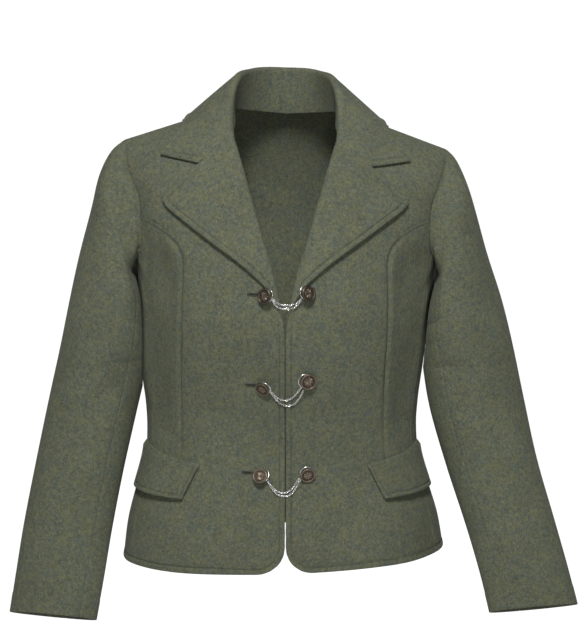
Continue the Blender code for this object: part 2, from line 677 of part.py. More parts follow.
def collarPath(row):
    """Section of the collar: up the stand, round the fold and down the leaf."""
    value = dict(zip(collarColumns, row))
    neck = np.array([value["neckX"], value["neckY"], value["neckZ"]])
    fold = np.array([value["foldX"], value["foldY"], value["foldZ"]])
    edge = np.array([value["edgeX"], value["edgeY"], value["edgeZ"]])
    down = (neck - fold) / np.linalg.norm(neck - fold)
    out = (edge - fold) / np.linalg.norm(edge - fold)
    up = -(down + out) / np.linalg.norm(down + out)
    across = out - up * np.dot(out, up)
    across /= np.linalg.norm(across)
    centre = fold - up * rollRadius
    points = [neck, neck * 0.5 + (centre - across * rollRadius) * 0.5]
    for turn in np.radians(np.linspace(180.0, 20.0, 6)):
        points.append(centre + rollRadius * (across * math.cos(turn) + up * math.sin(turn)))
    start = centre + across * rollRadius
    for share in leafShares:
        bulge = collarBulge * math.sin(math.pi * share)
        lift = np.array([0.0, 0.0, bulge])
        points.append(start * (1.0 - share) + edge * share + lift)
    return np.array(points)


def makeCollar(name):
    """Collar in one piece from gorge to gorge: the stand, the fold and the leaf."""
    half = smoothTable(collarStations, 18)
    mirror = np.tile([-1.0, 1.0, 1.0], 3)
    stations = np.concatenate([half, half[-2::-1] * mirror])
    points = np.array([collarPath(row) for row in stations])
    points[..., 2] += points[..., 0] * shoulderTilt
    seam = np.array(collarEnd)
    across = seam[0, 1] + (seam[-1, 1] - seam[0, 1]) * np.array(leafShares)
    height = np.interp(across, seam[:, 1], seam[:, 0]) + seamGap
    place = bodyPlace(across, height)
    layer = np.full(len(across), layGap + foldedWall)
    foldPlace = bodyPlace(seam[:1, 1], seam[:1, 0] + gorgeLift)
    for side, first, inwards in ((1.0, 0, 1), (-1.0, -1, -1)):
        fold = foldPoints(foldPlace, side)[0]
        end = np.concatenate([fold, bodyLayer(place[:, 0], place[:, 1], side, layer)])
        drawn = end - points[first]
        for step in range(collarHold):
            points[first + inwards * step] += drawn * (1.0 - step / collarHold) ** 2
    leaf = points[1:-1, 8:]
    clear = liftClear(leaf.reshape(-1, 3), layGap + foldedWall + collarEase)
    leaf[:] = clear.reshape(leaf.shape)
    meshFromGrid(name, points, "lodenFolded", foldedWall, False)


def makeFlap(side, name):
    """Pocket flap: lies on the front and side front, its lower edge standing off a little."""
    frontAcross = np.array([flapBottomAcross, flapTopAcross])
    frontHeight = np.array([flapBottomHeight, flapTopHeight])
    front = bodyPlace(frontAcross, frontHeight)
    end = np.array([[flapEndAngle, flapEndBottom], [flapEndAngle, flapEndTop]])
    rise = np.linspace(0.0, 1.0, 6)[:, None, None]
    share = np.linspace(0.0, 1.0, 9)[None, :, None]
    bottom = front[0] * (1.0 - share) + end[0] * share
    top = front[1] * (1.0 - share) + end[1] * share
    places = bottom * (1.0 - rise) + top * rise
    height = 2.0 * layGap + foldedWall + flapFlare * (1.0 - rise[..., 0]) ** 2 * share[..., 0]
    points = bodyLayer(places[..., 0], places[..., 1], side, height)
    meshFromGrid(name, points, "lodenFolded", foldedWall, side < 0)


def frontPoint(x, z, height):
    """Point at a height above the front, at a place given in front view."""
    place = bodyPlace(abs(x), z)
    return bodyLayer(place[0], place[1], math.copysign(1.0, x), height)


def makeButton(name, x, z, lift):
    """Coin button: a turned disc with a raised rim and boss, on its shank."""
    foot = frontPoint(x, z, layGap)
    out = frontPoint(x, z, layGap + 1.0) - foot
    back = lift - layGap
    front = back + buttonWall
    profile = [
        (0.0, front + buttonRelief),
        (2.0, front + buttonRelief),
        (2.8, front),
        (buttonRadius - 2.2, front),
        (buttonRadius - 1.4, front + buttonRelief),
        (buttonRadius - 0.5, front + buttonRelief),
        (buttonRadius, front),
        (buttonRadius, back),
        (shankRadius, back),
        (shankRadius, 0.0),
        (0.0, 0.0),
    ]
    mesh = bpy.data.meshes.new(name)
    edges = [(k, k + 1) for k in range(len(profile) - 1)]
    mesh.from_pydata([(r * 0.001, 0.0, h * 0.001) for r, h in profile], edges, [])
    part = finishObject(name, mesh, "antiqueMetal")
    lathe = part.modifiers.new("Turned", "SCREW")
    lathe.steps = 16
    lathe.render_steps = 16
    lathe.use_merge_vertices = True
    lathe.merge_threshold = 0.00001
    turned = Vector(out).to_track_quat("Z", "Y").to_matrix().to_4x4()
    part.matrix_world = Matrix.Translation(Vector(foot) * 0.001) @ turned


def makeStrand(name, start, end, sag, height):
    """Strand of a clasp's chain, hanging as a parabola just in front of the cloth."""
    curve = bpy.data.curves.new(name, "CURVE")
    curve.dimensions = "3D"
    curve.bevel_depth = chainRadius * 0.001
    curve.bevel_resolution = 2
    curve.use_fill_caps = True
    count = 11
    spline = curve.splines.new("POLY")
    spline.points.add(count - 1)
    for k, share in enumerate(np.linspace(0.0, 1.0, count)):
        x = start[0] + (end[0] - start[0]) * share
        z = start[1] + (end[1] - start[1]) * share - 4.0 * sag * share * (1.0 - share)
        point = frontPoint(x, z, height) * 0.001
        spline.points[k].co = (*point, 1.0)
    finishObject(name, curve, "silverMetal")


def makeClasp(row):
    """Two coin buttons joined by a chain of two strands."""
    clasp = dict(zip(claspColumns, row))
    right = (clasp["rightX"], clasp["rightZ"])
    left = (clasp["leftX"], clasp["leftZ"])
    makeButton("button_right_" + clasp["name"], *right, clasp["lift"])
    makeButton("button_left_" + clasp["name"], *left, clasp["lift"])
    height = clasp["lift"] - layGap - chainRadius
    for label, reach, drop, sag in (
        ("inner", 3.2, 0.5, clasp["innerSag"]),
        ("outer", 1.7, 3.1, clasp["outerSag"]),
    ):
        start = (right[0] + reach, right[1] - drop)
        end = (left[0] - reach, left[1] - drop)
        makeStrand("chain_" + clasp["name"] + "_" + label, start, end, sag, height)


for sideSign, word in ((-1.0, "right"), (1.0, "left")):
    makeFront(sideSign, "front_" + word)
    makeSideFront(sideSign, "side_front_" + word)
    makeBack(sideSign, "back_" + word)
    makeSleeve(sideSign, "top_sleeve_" + word, "under_sleeve_" + word)
    makeLapel(sideSign, "lapel_" + word)
    makeFlap(sideSign, "pocket_flap_" + word)
makeCollar("collar")
for claspRow in clasps:
    makeClasp(claspRow)
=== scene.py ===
import math

import bpy
import numpy as np
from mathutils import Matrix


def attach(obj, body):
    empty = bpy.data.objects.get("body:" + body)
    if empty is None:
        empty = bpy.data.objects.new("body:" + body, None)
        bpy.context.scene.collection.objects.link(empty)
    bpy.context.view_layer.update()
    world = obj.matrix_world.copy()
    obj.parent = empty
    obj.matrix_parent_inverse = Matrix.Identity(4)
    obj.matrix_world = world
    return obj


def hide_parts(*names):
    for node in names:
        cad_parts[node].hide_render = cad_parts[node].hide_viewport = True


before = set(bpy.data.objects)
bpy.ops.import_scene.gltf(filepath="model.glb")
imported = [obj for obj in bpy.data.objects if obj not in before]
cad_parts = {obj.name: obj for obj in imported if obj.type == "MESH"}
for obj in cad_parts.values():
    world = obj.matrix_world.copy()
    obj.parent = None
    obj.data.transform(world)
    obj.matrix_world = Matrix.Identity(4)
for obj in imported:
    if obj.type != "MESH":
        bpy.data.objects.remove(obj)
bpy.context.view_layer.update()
print("frame loaded:", len(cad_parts), "nodes")

# Lengths are millimetres in the tables and functions, and metres in the meshes.
# side is +1 for the wearer's left (+X) and -1 for the wearer's right. Angles run round the body
# from the centre front, 0, over the side, 90, to the centre back, 180.

jacket = {
    "clothWall": 2.2,        # loden of body and sleeves
    "foldedWall": 3.2,       # collar, lapels and flaps, two layers
    "seamGap": 0.4,
    "layGap": 0.45,
    "neckHalf": 68.0,
    "shoulderHalf": 204.0,
    "shoulderFall": 0.345,
    "ridgeLevel": 14.0,
    "ridgeRound": 6.0,
    "hemLevel": -561.0,
    "hemTilt": 0.035,
    "shoulderTilt": -0.03,
    "tiltStart": -430.0,
    "backNeckHeight": 8.0,
    "frontEdge": 1.2,
    "cornerRadius": 34.0,    # of the hem at the front
    "hemStart": 36.0,        # where the straight hem begins, from the centre line
    "breakHeight": -264.0,
    "sideAngle": 70.0,
    "sleeveClearance": 0.7,
    "rollRadius": 4.75,
    "facingTail": 9.0,
    "neckInset": 0.8,
}

# level, halfWidth, lean, frontDepth, backDepth, squareness, fall
bodySections = np.array([
    (-561.0, 208.5, -3.0, 132.0, 137.0, 2.20, 0.00),
    (-517.0, 202.0, -3.5, 128.0, 134.0, 2.20, 0.00),
    (-477.0, 191.0, -4.0, 121.0, 126.0, 2.20, 0.00),
    (-430.0, 177.5, -4.5, 114.0, 114.0, 2.20, 0.00),
    (-397.0, 174.5, -5.0, 113.0, 109.0, 2.20, 0.00),
    (-364.0, 176.0, -5.0, 117.0, 109.0, 2.20, 0.00),
    (-331.0, 180.0, -5.0, 125.0, 112.0, 2.20, 0.00),
    (-285.0, 185.0, -3.0, 135.0, 118.0, 2.20, 0.00),
    (-234.0, 189.0, -1.0, 141.0, 123.0, 2.20, 0.00),
    (-180.0, 193.0, 0.0, 138.0, 126.0, 2.20, 0.05),
    (-130.0, 200.0, 0.0, 129.0, 124.0, 2.20, 0.22),
    (-90.0, 208.0, 0.0, 116.0, 117.0, 2.20, 0.45),
    (-55.0, 213.0, 0.0, 98.0, 104.0, 2.20, 0.70),
    (-26.0, 216.0, 0.0, 76.0, 84.0, 2.20, 0.90),
    (-5.0, 217.0, 0.0, 51.0, 58.0, 2.20, 0.98),
    (8.0, 218.0, 0.0, 29.0, 33.0, 2.20, 1.00),
    (12.6, 218.0, 0.0, 13.0, 15.0, 2.20, 1.00),
    (13.8, 218.0, 0.0, 5.0, 5.5, 2.20, 1.00),
    (14.0, 218.0, 0.0, 0.45, 0.45, 2.20, 1.00),
])
halfWidthOf, leanOf, frontDepthOf, backDepthOf, squarenessOf, fallOf = 1, 2, 3, 4, 5, 6

# side, angle, level, slant, halfLength, halfWidth, bend, depth: the first rows are the solids'
bodyFolds = [
    (-1, 52.0, -188.0, 8.0, 62.0, 19.0, 0.0, -4.2),
    (1, 50.0, -196.0, 4.0, 54.0, 18.0, 0.0, -3.6),
    (-1, 66.0, -84.0, -24.0, 34.0, 20.0, 0.0, -3.0),
    (1, 68.0, -96.0, -18.0, 28.0, 19.0, 0.0, -2.4),
    (-1, 79.0, -236.0, 14.0, 46.0, 17.0, 0.0, -3.4),
    (1, 80.0, -244.0, 18.0, 52.0, 18.0, 0.0, -3.8),
    (1, 44.0, -548.0, 4.0, 40.0, 24.0, 0.0, 3.0),
    (-1, 36.0, -556.0, -6.0, 34.0, 26.0, 0.0, 1.8),
    (-1, 122.0, -142.0, -16.0, 66.0, 20.0, 0.0, -4.6),
    (1, 124.0, -154.0, -12.0, 58.0, 21.0, 0.0, -4.0),
    (-1, 106.0, -262.0, -30.0, 44.0, 18.0, 0.0, -2.8),
    (1, 103.0, -276.0, -24.0, 38.0, 18.0, 0.0, -2.4),
    (-1, 148.0, -386.0, 74.0, 40.0, 17.0, 0.0, -3.2),
    (1, 152.0, -402.0, 70.0, 46.0, 18.0, 0.0, -3.6),
    (1, 138.0, -530.0, 5.0, 46.0, 26.0, 0.0, 3.4),
    (-1, 156.0, -538.0, -4.0, 38.0, 24.0, 0.0, 2.6),
    # finer creases, on all sides
    (-1, 62.0, -150.0, -8.0, 42.0, 8.0, 4.0, -1.5),
    (1, 60.0, -158.0, -12.0, 36.0, 8.0, -3.0, -1.3),
    (-1, 72.0, -196.0, 34.0, 30.0, 7.0, 5.0, -1.5),
    (1, 73.0, -202.0, 40.0, 34.0, 7.0, -4.0, -1.6),
    (-1, 84.0, -262.0, 26.0, 44.0, 9.0, 5.0, -1.4),
    (1, 86.0, -288.0, 22.0, 38.0, 9.0, -4.0, -1.3),
    (-1, 30.0, -352.0, 62.0, 34.0, 12.0, 6.0, -0.8),
    (1, 33.0, -372.0, -66.0, 30.0, 12.0, 5.0, -0.7),
    (-1, 58.0, -392.0, 76.0, 34.0, 9.0, 4.0, -1.2),
    (1, 61.0, -380.0, -72.0, 38.0, 9.0, 5.0, -1.3),
    (-1, 14.0, -300.0, 46.0, 40.0, 13.0, 6.0, -0.7),
    (1, 13.0, -296.0, -50.0, 36.0, 13.0, 5.0, -0.6),
    (-1, 20.0, -508.0, 6.0, 44.0, 22.0, 0.0, -1.1),
    (1, 24.0, -500.0, -5.0, 40.0, 20.0, 0.0, -1.0),
    (-1, 62.0, -530.0, 3.0, 38.0, 22.0, 0.0, -1.6),
    (1, 66.0, -536.0, -4.0, 34.0, 20.0, 0.0, -1.8),
    (-1, 112.0, -196.0, -40.0, 38.0, 8.0, 6.0, -1.7),
    (1, 114.0, -188.0, -36.0, 42.0, 8.0, -5.0, -1.8),
    (-1, 132.0, -118.0, -8.0, 46.0, 9.0, 4.0, -1.5),
    (1, 134.0, -126.0, -10.0, 40.0, 9.0, -4.0, -1.4),
    (-1, 126.0, -368.0, 66.0, 44.0, 10.0, 6.0, -1.7),
    (1, 128.0, -376.0, 70.0, 38.0, 10.0, -5.0, -1.5),
    (-1, 160.0, -408.0, 82.0, 36.0, 9.0, 4.0, -1.3),
    (1, 164.0, -380.0, 84.0, 40.0, 10.0, -4.0, -1.5),
    (-1, 104.0, -540.0, 4.0, 40.0, 24.0, 0.0, 2.0),
    (1, 112.0, -534.0, -4.0, 44.0, 24.0, 0.0, -2.0),
    (-1, 134.0, -532.0, 3.0, 42.0, 22.0, 0.0, -1.8),
    (1, 168.0, -540.0, 0.0, 36.0, 20.0, 0.0, -1.5),
]
foldRadius = 130.0


def smoothTable(rows, count):
    # Catmull-Rom curve through the rows, read at evenly spread places
    table = np.array(rows, dtype=float)
    last = len(table) - 1
    place = np.linspace(0.0, last, count)
    start = np.minimum(place.astype(int), last - 1)
    t = (place - start)[:, None]
    before = table[np.maximum(start - 1, 0)]
    here = table[start]
    there = table[start + 1]
    after = table[np.minimum(start + 2, last)]
    straight = 2.0 * here + (there - before) * t
    bend = (2.0 * before - 5.0 * here + 4.0 * there - after) * t ** 2
    turn = (3.0 * here - before - 3.0 * there + after) * t ** 3
    return 0.5 * (straight + bend + turn)


bodyCurve = smoothTable(bodySections, 900)
ridgeStart = int(np.argmax(bodyCurve[:, 0] >= 12.6))
ridgeLevels = 14.0 - 1.4 * np.linspace(1.0, 0.0, 900 - ridgeStart) ** 2      # close rows near the top
bodyCurve[ridgeStart:, 0] = ridgeLevels
for ridgeColumn, ridgeDepth in ((frontDepthOf, 13.0), (backDepthOf, 15.0)):
    # z = 14 - 1.4 (y / depth)^2
    ridgeShape = ridgeDepth * np.sqrt((14.0 - ridgeLevels) / 1.4)
    bodyCurve[ridgeStart:, ridgeColumn] = np.maximum(ridgeShape, 0.45)


def bodySize(column, level):
    return np.interp(level, bodyCurve[:, 0], bodyCurve[:, column])


def ramp(value, start, end):
    # soft step 3t^2 - 2t^3 from 0 at start to 1 at end
    t = np.clip((value - start) / (end - start), 0.0, 1.0)
    return t * t * (3.0 - 2.0 * t)


def unit(vectors):
    return vectors / np.maximum(np.linalg.norm(vectors, axis=-1, keepdims=True), 1e-9)


def foldHeight(fold, along, up):
    # depth times a bell across the fold and along it, the fold's line bending sideways
    slant = math.radians(fold[3])
    length = along * math.sin(slant) + up * math.cos(slant)
    across = along * math.cos(slant) - up * math.sin(slant) - fold[6] * (length / fold[4]) ** 2
    return fold[7] * np.exp(-(across / fold[5]) ** 2 - (length / fold[4]) ** 2)


def bodyRelief(angle, level, side):
    height = np.zeros(np.broadcast(angle, level).shape)
    for fold in bodyFolds:
        if fold[0] == side:
            along = np.radians(angle - fold[1]) * foldRadius
            height = height + foldHeight(fold, along, level - fold[2])
    return height


def tiltAt(level):
    low = np.clip((jacket["tiltStart"] - level) / (jacket["tiltStart"] - jacket["hemLevel"]), 0.0, 1.0)
    return jacket["hemTilt"] * low ** 2 + jacket["shoulderTilt"] * bodySize(fallOf, level)


def bodyPoint(angle, level, side):
    # x = W sin^(2/n), y = -D cos^(2/n) round a section, swollen by the folds; z falls with the
    # shoulders outwards of the neck point, and tilts with x
    power = 2.0 / bodySize(squarenessOf, level)
    turn = np.radians(angle)
    across = bodySize(halfWidthOf, level) * np.abs(np.sin(turn)) ** power
    depth = np.where(np.cos(turn) > 0.0, -bodySize(frontDepthOf, level), bodySize(backDepthOf, level))
    y = depth * np.abs(np.cos(turn)) ** power
    swell = 1.0 + bodyRelief(angle, level, side) / np.maximum(np.hypot(across, y), 1.0)
    y = y * swell
    across = across * swell
    x = across * (side + bodySize(leanOf, level) / bodySize(halfWidthOf, level))
    z = level - bodySize(fallOf, level) * jacket["shoulderFall"] * (across - jacket["neckHalf"])
    return np.stack([x, y, z + x * tiltAt(level)], axis=-1)


def onBody(places, side):
    return bodyPoint(places[..., 0], places[..., 1], side)


def bodyPlace(across, height, back=False):
    # angle and level of a place given by its distance from the centre line and its height
    across = np.asarray(across, dtype=float)
    level = np.array(height, dtype=float)
    for _ in range(12):
        level = height + bodySize(fallOf, level) * jacket["shoulderFall"] * (across - jacket["neckHalf"])
    share = np.clip(across / bodySize(halfWidthOf, level), 0.0, 1.0)
    angle = np.degrees(np.arcsin(share ** (bodySize(squarenessOf, level) / 2.0)))
    return np.stack(np.broadcast_arrays(180.0 - angle if back else angle, level), axis=-1)


def bodyNormal(angle, level, side):
    # outward normal: cross product of the steps round the body and up it
    round1 = bodyPoint(np.minimum(angle + 0.6, 180.0), level, side)
    round2 = bodyPoint(np.maximum(angle - 0.6, 0.0), level, side)
    up1 = bodyPoint(angle, np.minimum(level + 1.0, jacket["ridgeLevel"]), side)
    up2 = bodyPoint(angle, level - 1.0, side)
    return unit(np.cross(round1 - round2, up1 - up2) * side)


def bodyLayer(places, side, height):
    # a place on the body, moved out along its normal
    angle = np.asarray(places[..., 0], dtype=float)
    level = np.asarray(places[..., 1], dtype=float)
    return bodyPoint(angle, level, side) + np.asarray(height)[..., None] * bodyNormal(angle, level, side)


def roundness(points):
    # size of the smooth section through a point, as a share of the body's own section
    level = points[:, 2].copy()
    for _ in range(10):
        lean = np.sign(points[:, 0]) * bodySize(leanOf, level) / bodySize(halfWidthOf, level)
        across = np.abs(points[:, 0]) / (1.0 + lean)
        fallen = bodySize(fallOf, level) * jacket["shoulderFall"] * (across - jacket["neckHalf"])
        level = points[:, 2] + fallen
        level = level - points[:, 0] * tiltAt(level)
    power = bodySize(squarenessOf, level)
    depth = np.where(points[:, 1] < 0.0, bodySize(frontDepthOf, level), bodySize(backDepthOf, level))
    depth = np.maximum(depth, jacket["ridgeRound"])
    over = np.maximum(level - bodyCurve[-1, 0], 0.0)
    width = np.abs(across / bodySize(halfWidthOf, level)) ** power
    return (width + np.abs(points[:, 1] / depth) ** power) ** (1.0 / power) + over


def liftClear(points, clearance):
    # points moved out along the slope of the section size until they are clear of the body
    shape = points.shape
    moved = points.reshape(-1, 3).copy()
    clearance = np.broadcast_to(clearance, shape[:-1]).reshape(-1)
    for _ in range(4):
        value = roundness(moved)
        near = np.nonzero((value - 1.0) * 60.0 < clearance + 20.0)[0]
        some = moved[near]
        slope = np.stack([
            (roundness(some + 0.05 * axis) - roundness(some - 0.05 * axis)) / 0.1 for axis in np.eye(3)
        ], axis=-1)
        steep = np.maximum(np.linalg.norm(slope, axis=1), 1e-6)
        short = np.maximum(clearance[near] - (value[near] - 1.0) / steep, 0.0)
        moved[near] = some + (short / steep)[:, None] * slope
    return moved.reshape(shape)


def placesOnLine(line, back=False):
    # angles and levels along a line given as rows of height and distance from the centre
    dense = smoothTable(line, 25 * len(line))
    return bodyPlace(dense[:, 1], dense[:, 0], back)


def spread(places, count):
    # the same line at evenly spaced points of its real length
    points = onBody(places, 1.0)
    length = np.concatenate([[0.0], np.cumsum(np.linalg.norm(np.diff(points, axis=0), axis=1))])
    at = np.linspace(0.0, length[-1], count)
    return np.stack([np.interp(at, length, places[:, k]) for k in range(2)], axis=-1)


def joined(*lines):
    return np.concatenate([lines[0]] + [line[1:] for line in lines[1:]])


def between(first, second, count):
    # straight lines between two rows of places, as a grid
    share = np.linspace(0.0, 1.0, count)[None, :, None]
    return first[:, None, :] * (1.0 - share) + second[:, None, :] * share


def sidewards(places, distance):
    here = onBody(places, 1.0)
    there = bodyPoint(places[:, 0] + 0.5, places[:, 1], 1.0)
    moved = places.copy()
    moved[:, 0] += distance * 0.5 / np.linalg.norm(there - here, axis=1)
    return moved


def inwardLine(places, side, distance, turnWay):
    # a line on the body moved sideways over its surface: along normal x tangent
    here = onBody(places, side)
    normal = bodyNormal(places[:, 0], places[:, 1], side)
    tangent = np.gradient(here, axis=0)
    way = unit(np.cross(normal, tangent) * turnWay * side)
    roundStep = (bodyPoint(places[:, 0] + 0.2, places[:, 1], side) - here) / 0.2
    upStep = (bodyPoint(places[:, 0], places[:, 1] + 0.5, side) - here) / 0.5
    a = np.sum(roundStep * roundStep, axis=1)
    b = np.sum(roundStep * upStep, axis=1)
    c = np.sum(upStep * upStep, axis=1)
    p = np.sum(roundStep * way, axis=1) * distance
    q = np.sum(upStep * way, axis=1) * distance
    grow = np.stack([(c * p - b * q), (a * q - b * p)], axis=-1) / (a * c - b * b)[:, None]
    return places + grow


# meshes
steps = {
    "edge": (0.0, 0.5, 1.0, 1.6, 2.3, 3.1, 4.0, 5.0, 6.0, 7.0, 8.0, 9.2, 10.6, 12.4),
    "rim": 4,
}


def respaced(points, middle, inset=(0.0, 0.0)):
    # each row read again at fixed distances from its two ends and evenly in between
    edge = np.array(steps["edge"])
    lengths = np.linalg.norm(np.diff(points, axis=1), axis=2)
    arc = np.concatenate([np.zeros((len(points), 1)), np.cumsum(lengths, axis=1)], axis=1)
    rows = []
    for line, along in zip(points, arc):
        held = min(1.0, 0.4 * along[-1] / max(inset[0] + inset[1], 1e-6))
        total = along[-1] - (inset[0] + inset[1]) * held
        near = edge * min(1.0, 0.42 * total / edge[-1])
        first = inset[0] * held + near
        last = inset[0] * held + total - near[::-1]
        at = np.concatenate([first, np.linspace(first[-1], last[0], middle + 2)[1:-1], last])
        rows.append(np.stack([np.interp(at, along, line[:, k]) for k in range(3)], axis=-1))
    return np.array(rows)


def laidOut(points, columns, rows, insetColumns=(0.0, 0.0), insetRows=(0.0, 0.0)):
    # a grid respaced both ways, fine near its four edges
    across = respaced(points, columns, insetColumns)
    return respaced(across.transpose(1, 0, 2), rows, insetRows).transpose(1, 0, 2)


def gridNormals(points, flip):
    # cross product of the two steps; where they run along each other, the normal one step further
    # in, and a row that shrinks to a tip takes the normals of the one before
    across = np.gradient(points, axis=1)
    along = np.gradient(points, axis=0)
    normal = np.cross(across, along)
    size = np.linalg.norm(normal, axis=-1, keepdims=True)
    lengths = np.linalg.norm(across, axis=-1) * np.linalg.norm(along, axis=-1)
    square = size[..., 0] / np.maximum(lengths, 1e-9)
    normal /= np.maximum(size, 1e-9)
    for row, column, inRow, inColumn in ((0, 0, 1, 1), (0, -1, 1, -2), (-1, 0, -2, 1), (-1, -1, -2, -2)):
        if square[row, column] < 0.25:
            normal[row, column] = normal[inRow, inColumn]
    thin = np.linalg.norm(across, axis=-1).mean(axis=1) < 0.12
    for row in range(len(points) // 2, len(points)):
        if thin[row]:
            normal[row] = normal[row - 1]
    return -normal if flip else normal


def quads(index):
    # the faces between neighbouring rows and columns of an index grid
    corners = [index[:-1, :-1], index[:-1, 1:], index[1:, 1:], index[1:, :-1]]
    return np.stack(corners, axis=-1).reshape(-1, 4)


def clothShell(name, outer, wall, flip, material):
    # a closed wall: the outer grid, the same grid moved in by the wall, and between their edges
    # a half round rim, M + wall/2 (out cos f + n sin f)
    normal = gridNormals(outer, flip)
    rows, columns = outer.shape[:2]
    half = np.broadcast_to(np.asarray(wall, dtype=float) / 2.0, (rows, columns))
    middle = outer - normal * half[..., None]
    edgeRows = np.concatenate([np.zeros(columns - 1), np.arange(rows - 1),
                               np.full(columns - 1, rows - 1), np.arange(rows - 1, 0, -1)]).astype(int)
    edgeColumns = np.concatenate([np.arange(columns - 1), np.full(rows - 1, columns - 1),
                                  np.arange(columns - 1, 0, -1), np.zeros(rows - 1)]).astype(int)
    ring = middle[edgeRows, edgeColumns]
    ringHalf = half[edgeRows, edgeColumns][:, None]
    ringNormal = normal[edgeRows, edgeColumns]
    out = unit(np.cross(np.roll(ring, -1, axis=0) - np.roll(ring, 1, axis=0), ringNormal))
    inside = middle[np.clip(edgeRows, 2, rows - 3), np.clip(edgeColumns, 2, columns - 3)]
    facing = np.sign(np.sum(out * (ring - inside), axis=1, keepdims=True))
    out *= np.where(facing == 0.0, 1.0, facing)
    count = rows * columns
    loops = []
    for step in range(1, steps["rim"]):
        f = math.pi / 2.0 - math.pi * step / steps["rim"]
        loops.append(ring + ringHalf * (out * math.cos(f) + ringNormal * math.sin(f)))
    inner = middle - normal * half[..., None]
    vertices = np.concatenate([outer.reshape(-1, 3), inner.reshape(-1, 3)] + loops)
    index = np.arange(count).reshape(rows, columns)
    edgeIndex = edgeRows * columns + edgeColumns
    bands = [edgeIndex]
    for k in range(steps["rim"] - 1):
        bands.append(2 * count + k * len(ring) + np.arange(len(ring)))
    bands.append(edgeIndex + count)
    parts = [quads(index), quads(index + count)[:, ::-1]]
    for here, there in zip(bands[:-1], bands[1:]):
        parts.append(np.stack([here, there, np.roll(there, -1), np.roll(here, -1)], axis=-1))
    faces = np.concatenate(parts)
    a, b, c, d = [vertices[faces[:, k]] for k in range(4)]
    volume = np.sum(a * np.cross(b, c)) + np.sum(a * np.cross(c, d))
    if volume < 0.0:
        faces = faces[:, ::-1]
    area = np.linalg.norm(np.cross(a - c, b - d), axis=1).sum() / 4e6
    print("%s: %.0f x %.0f mm, %.4f m2" % (name, widest(outer), widest(outer.transpose(1, 0, 2)), area))
    piece = makeMesh(name, vertices, faces.tolist(), material)
    return piece


def widest(grid):
    # longest row of a grid
    return float(np.linalg.norm(np.diff(grid, axis=1), axis=2).sum(axis=1).max())


# materials
class Socket:
    # an output socket whose operators add Math nodes
    def __init__(self, tree, output):
        self.tree = tree
        self.output = output

    def math(self, operation, other=None, third=None, swapped=False):
        node = self.tree.nodes.new("ShaderNodeMath")
        node.operation = operation
        values = [self, other, third]
        if swapped:
            values = [other, self, third]
        for k, value in enumerate(values):
            if isinstance(value, Socket):
                self.tree.links.new(value.output, node.inputs[k])
            elif value is not None:
                node.inputs[k].default_value = value
        return Socket(self.tree, node.outputs[0])

    def __add__(self, other):
        return self.math("ADD", other)

    __radd__ = __add__

    def __sub__(self, other):
        return self.math("SUBTRACT", other)

    def __rsub__(self, other):
        return self.math("SUBTRACT", other, swapped=True)

    def __mul__(self, other):
        return self.math("MULTIPLY", other)

    __rmul__ = __mul__

    def step(self, start, end):
        # 0 below start, 1 above end
        span = (self - start) * (1.0 / (end - start))
        return span.math("MAXIMUM", 0.0).math("MINIMUM", 1.0)


class Finish:
    # a material and the one way its nodes are added
    def __init__(self, name):
        self.material = bpy.data.materials.new(name)
        self.material.use_nodes = True
        self.tree = self.material.node_tree
        self.shader = self.tree.nodes["Principled BSDF"]

    def node(self, kind, settings=None, **sockets):
        made = self.tree.nodes.new(kind)
        for key, value in (settings or {}).items():
            setattr(made, key, value)
        for key, value in sockets.items():
            self.feed(made, key.replace("_", " "), value)
        return made

    def feed(self, made, key, value):
        socket = made.inputs[int(key[1:])] if key[0] == "n" and key[1:].isdigit() else made.inputs[key]
        if isinstance(value, Socket):
            self.tree.links.new(value.output, socket)
        else:
            socket.default_value = value

    def out(self, made, key=0):
        return Socket(self.tree, made.outputs[key])

    def place(self, scale=(1.0, 1.0, 1.0), turn=(0.0, 0.0, 0.0)):
        where = self.node("ShaderNodeTexCoord")
        mapping = self.node("ShaderNodeMapping", Vector=self.out(where, "Object"), Scale=scale,
                            Rotation=turn)
        return self.out(mapping)

    def noise(self, where, scale, detail=2.0, rough=0.5, distortion=0.0):
        made = self.node("ShaderNodeTexNoise", Vector=where, Scale=scale, Detail=detail,
                         Roughness=rough, Distortion=distortion)
        return self.out(made, 0)

    def blend(self, factor, first, second):
        made = self.node("ShaderNodeMix", {"data_type": "RGBA"}, n0=factor, n6=first, n7=second)
        return self.out(made, 2)

    def bump(self, height, strength, distance):
        made = self.node("ShaderNodeBump", Height=height, Strength=strength, Distance=distance)
        return self.out(made)

    def set(self, **values):
        for key, value in values.items():
            self.feed(self.shader, key.replace("_", " "), value)


def colour(red, green, blue):
    return (red, green, blue, 1.0)


lodenLook = {
    "deep": colour(0.058, 0.070, 0.044),       # dark green wool
    "olive": colour(0.130, 0.137, 0.080),      # yellow green fibres
    "grey": colour(0.156, 0.155, 0.138),       # pale grey fibres
    "teal": colour(0.066, 0.087, 0.076),       # blue green fibres
    "plum": colour(0.116, 0.092, 0.098),
    "moss": colour(0.128, 0.126, 0.068),       # broad yellower and bluer patches
    "slate": colour(0.076, 0.095, 0.086),
    "roughness": 0.95,
    "sheen": 0.06,
    "nap": 0.55,
}


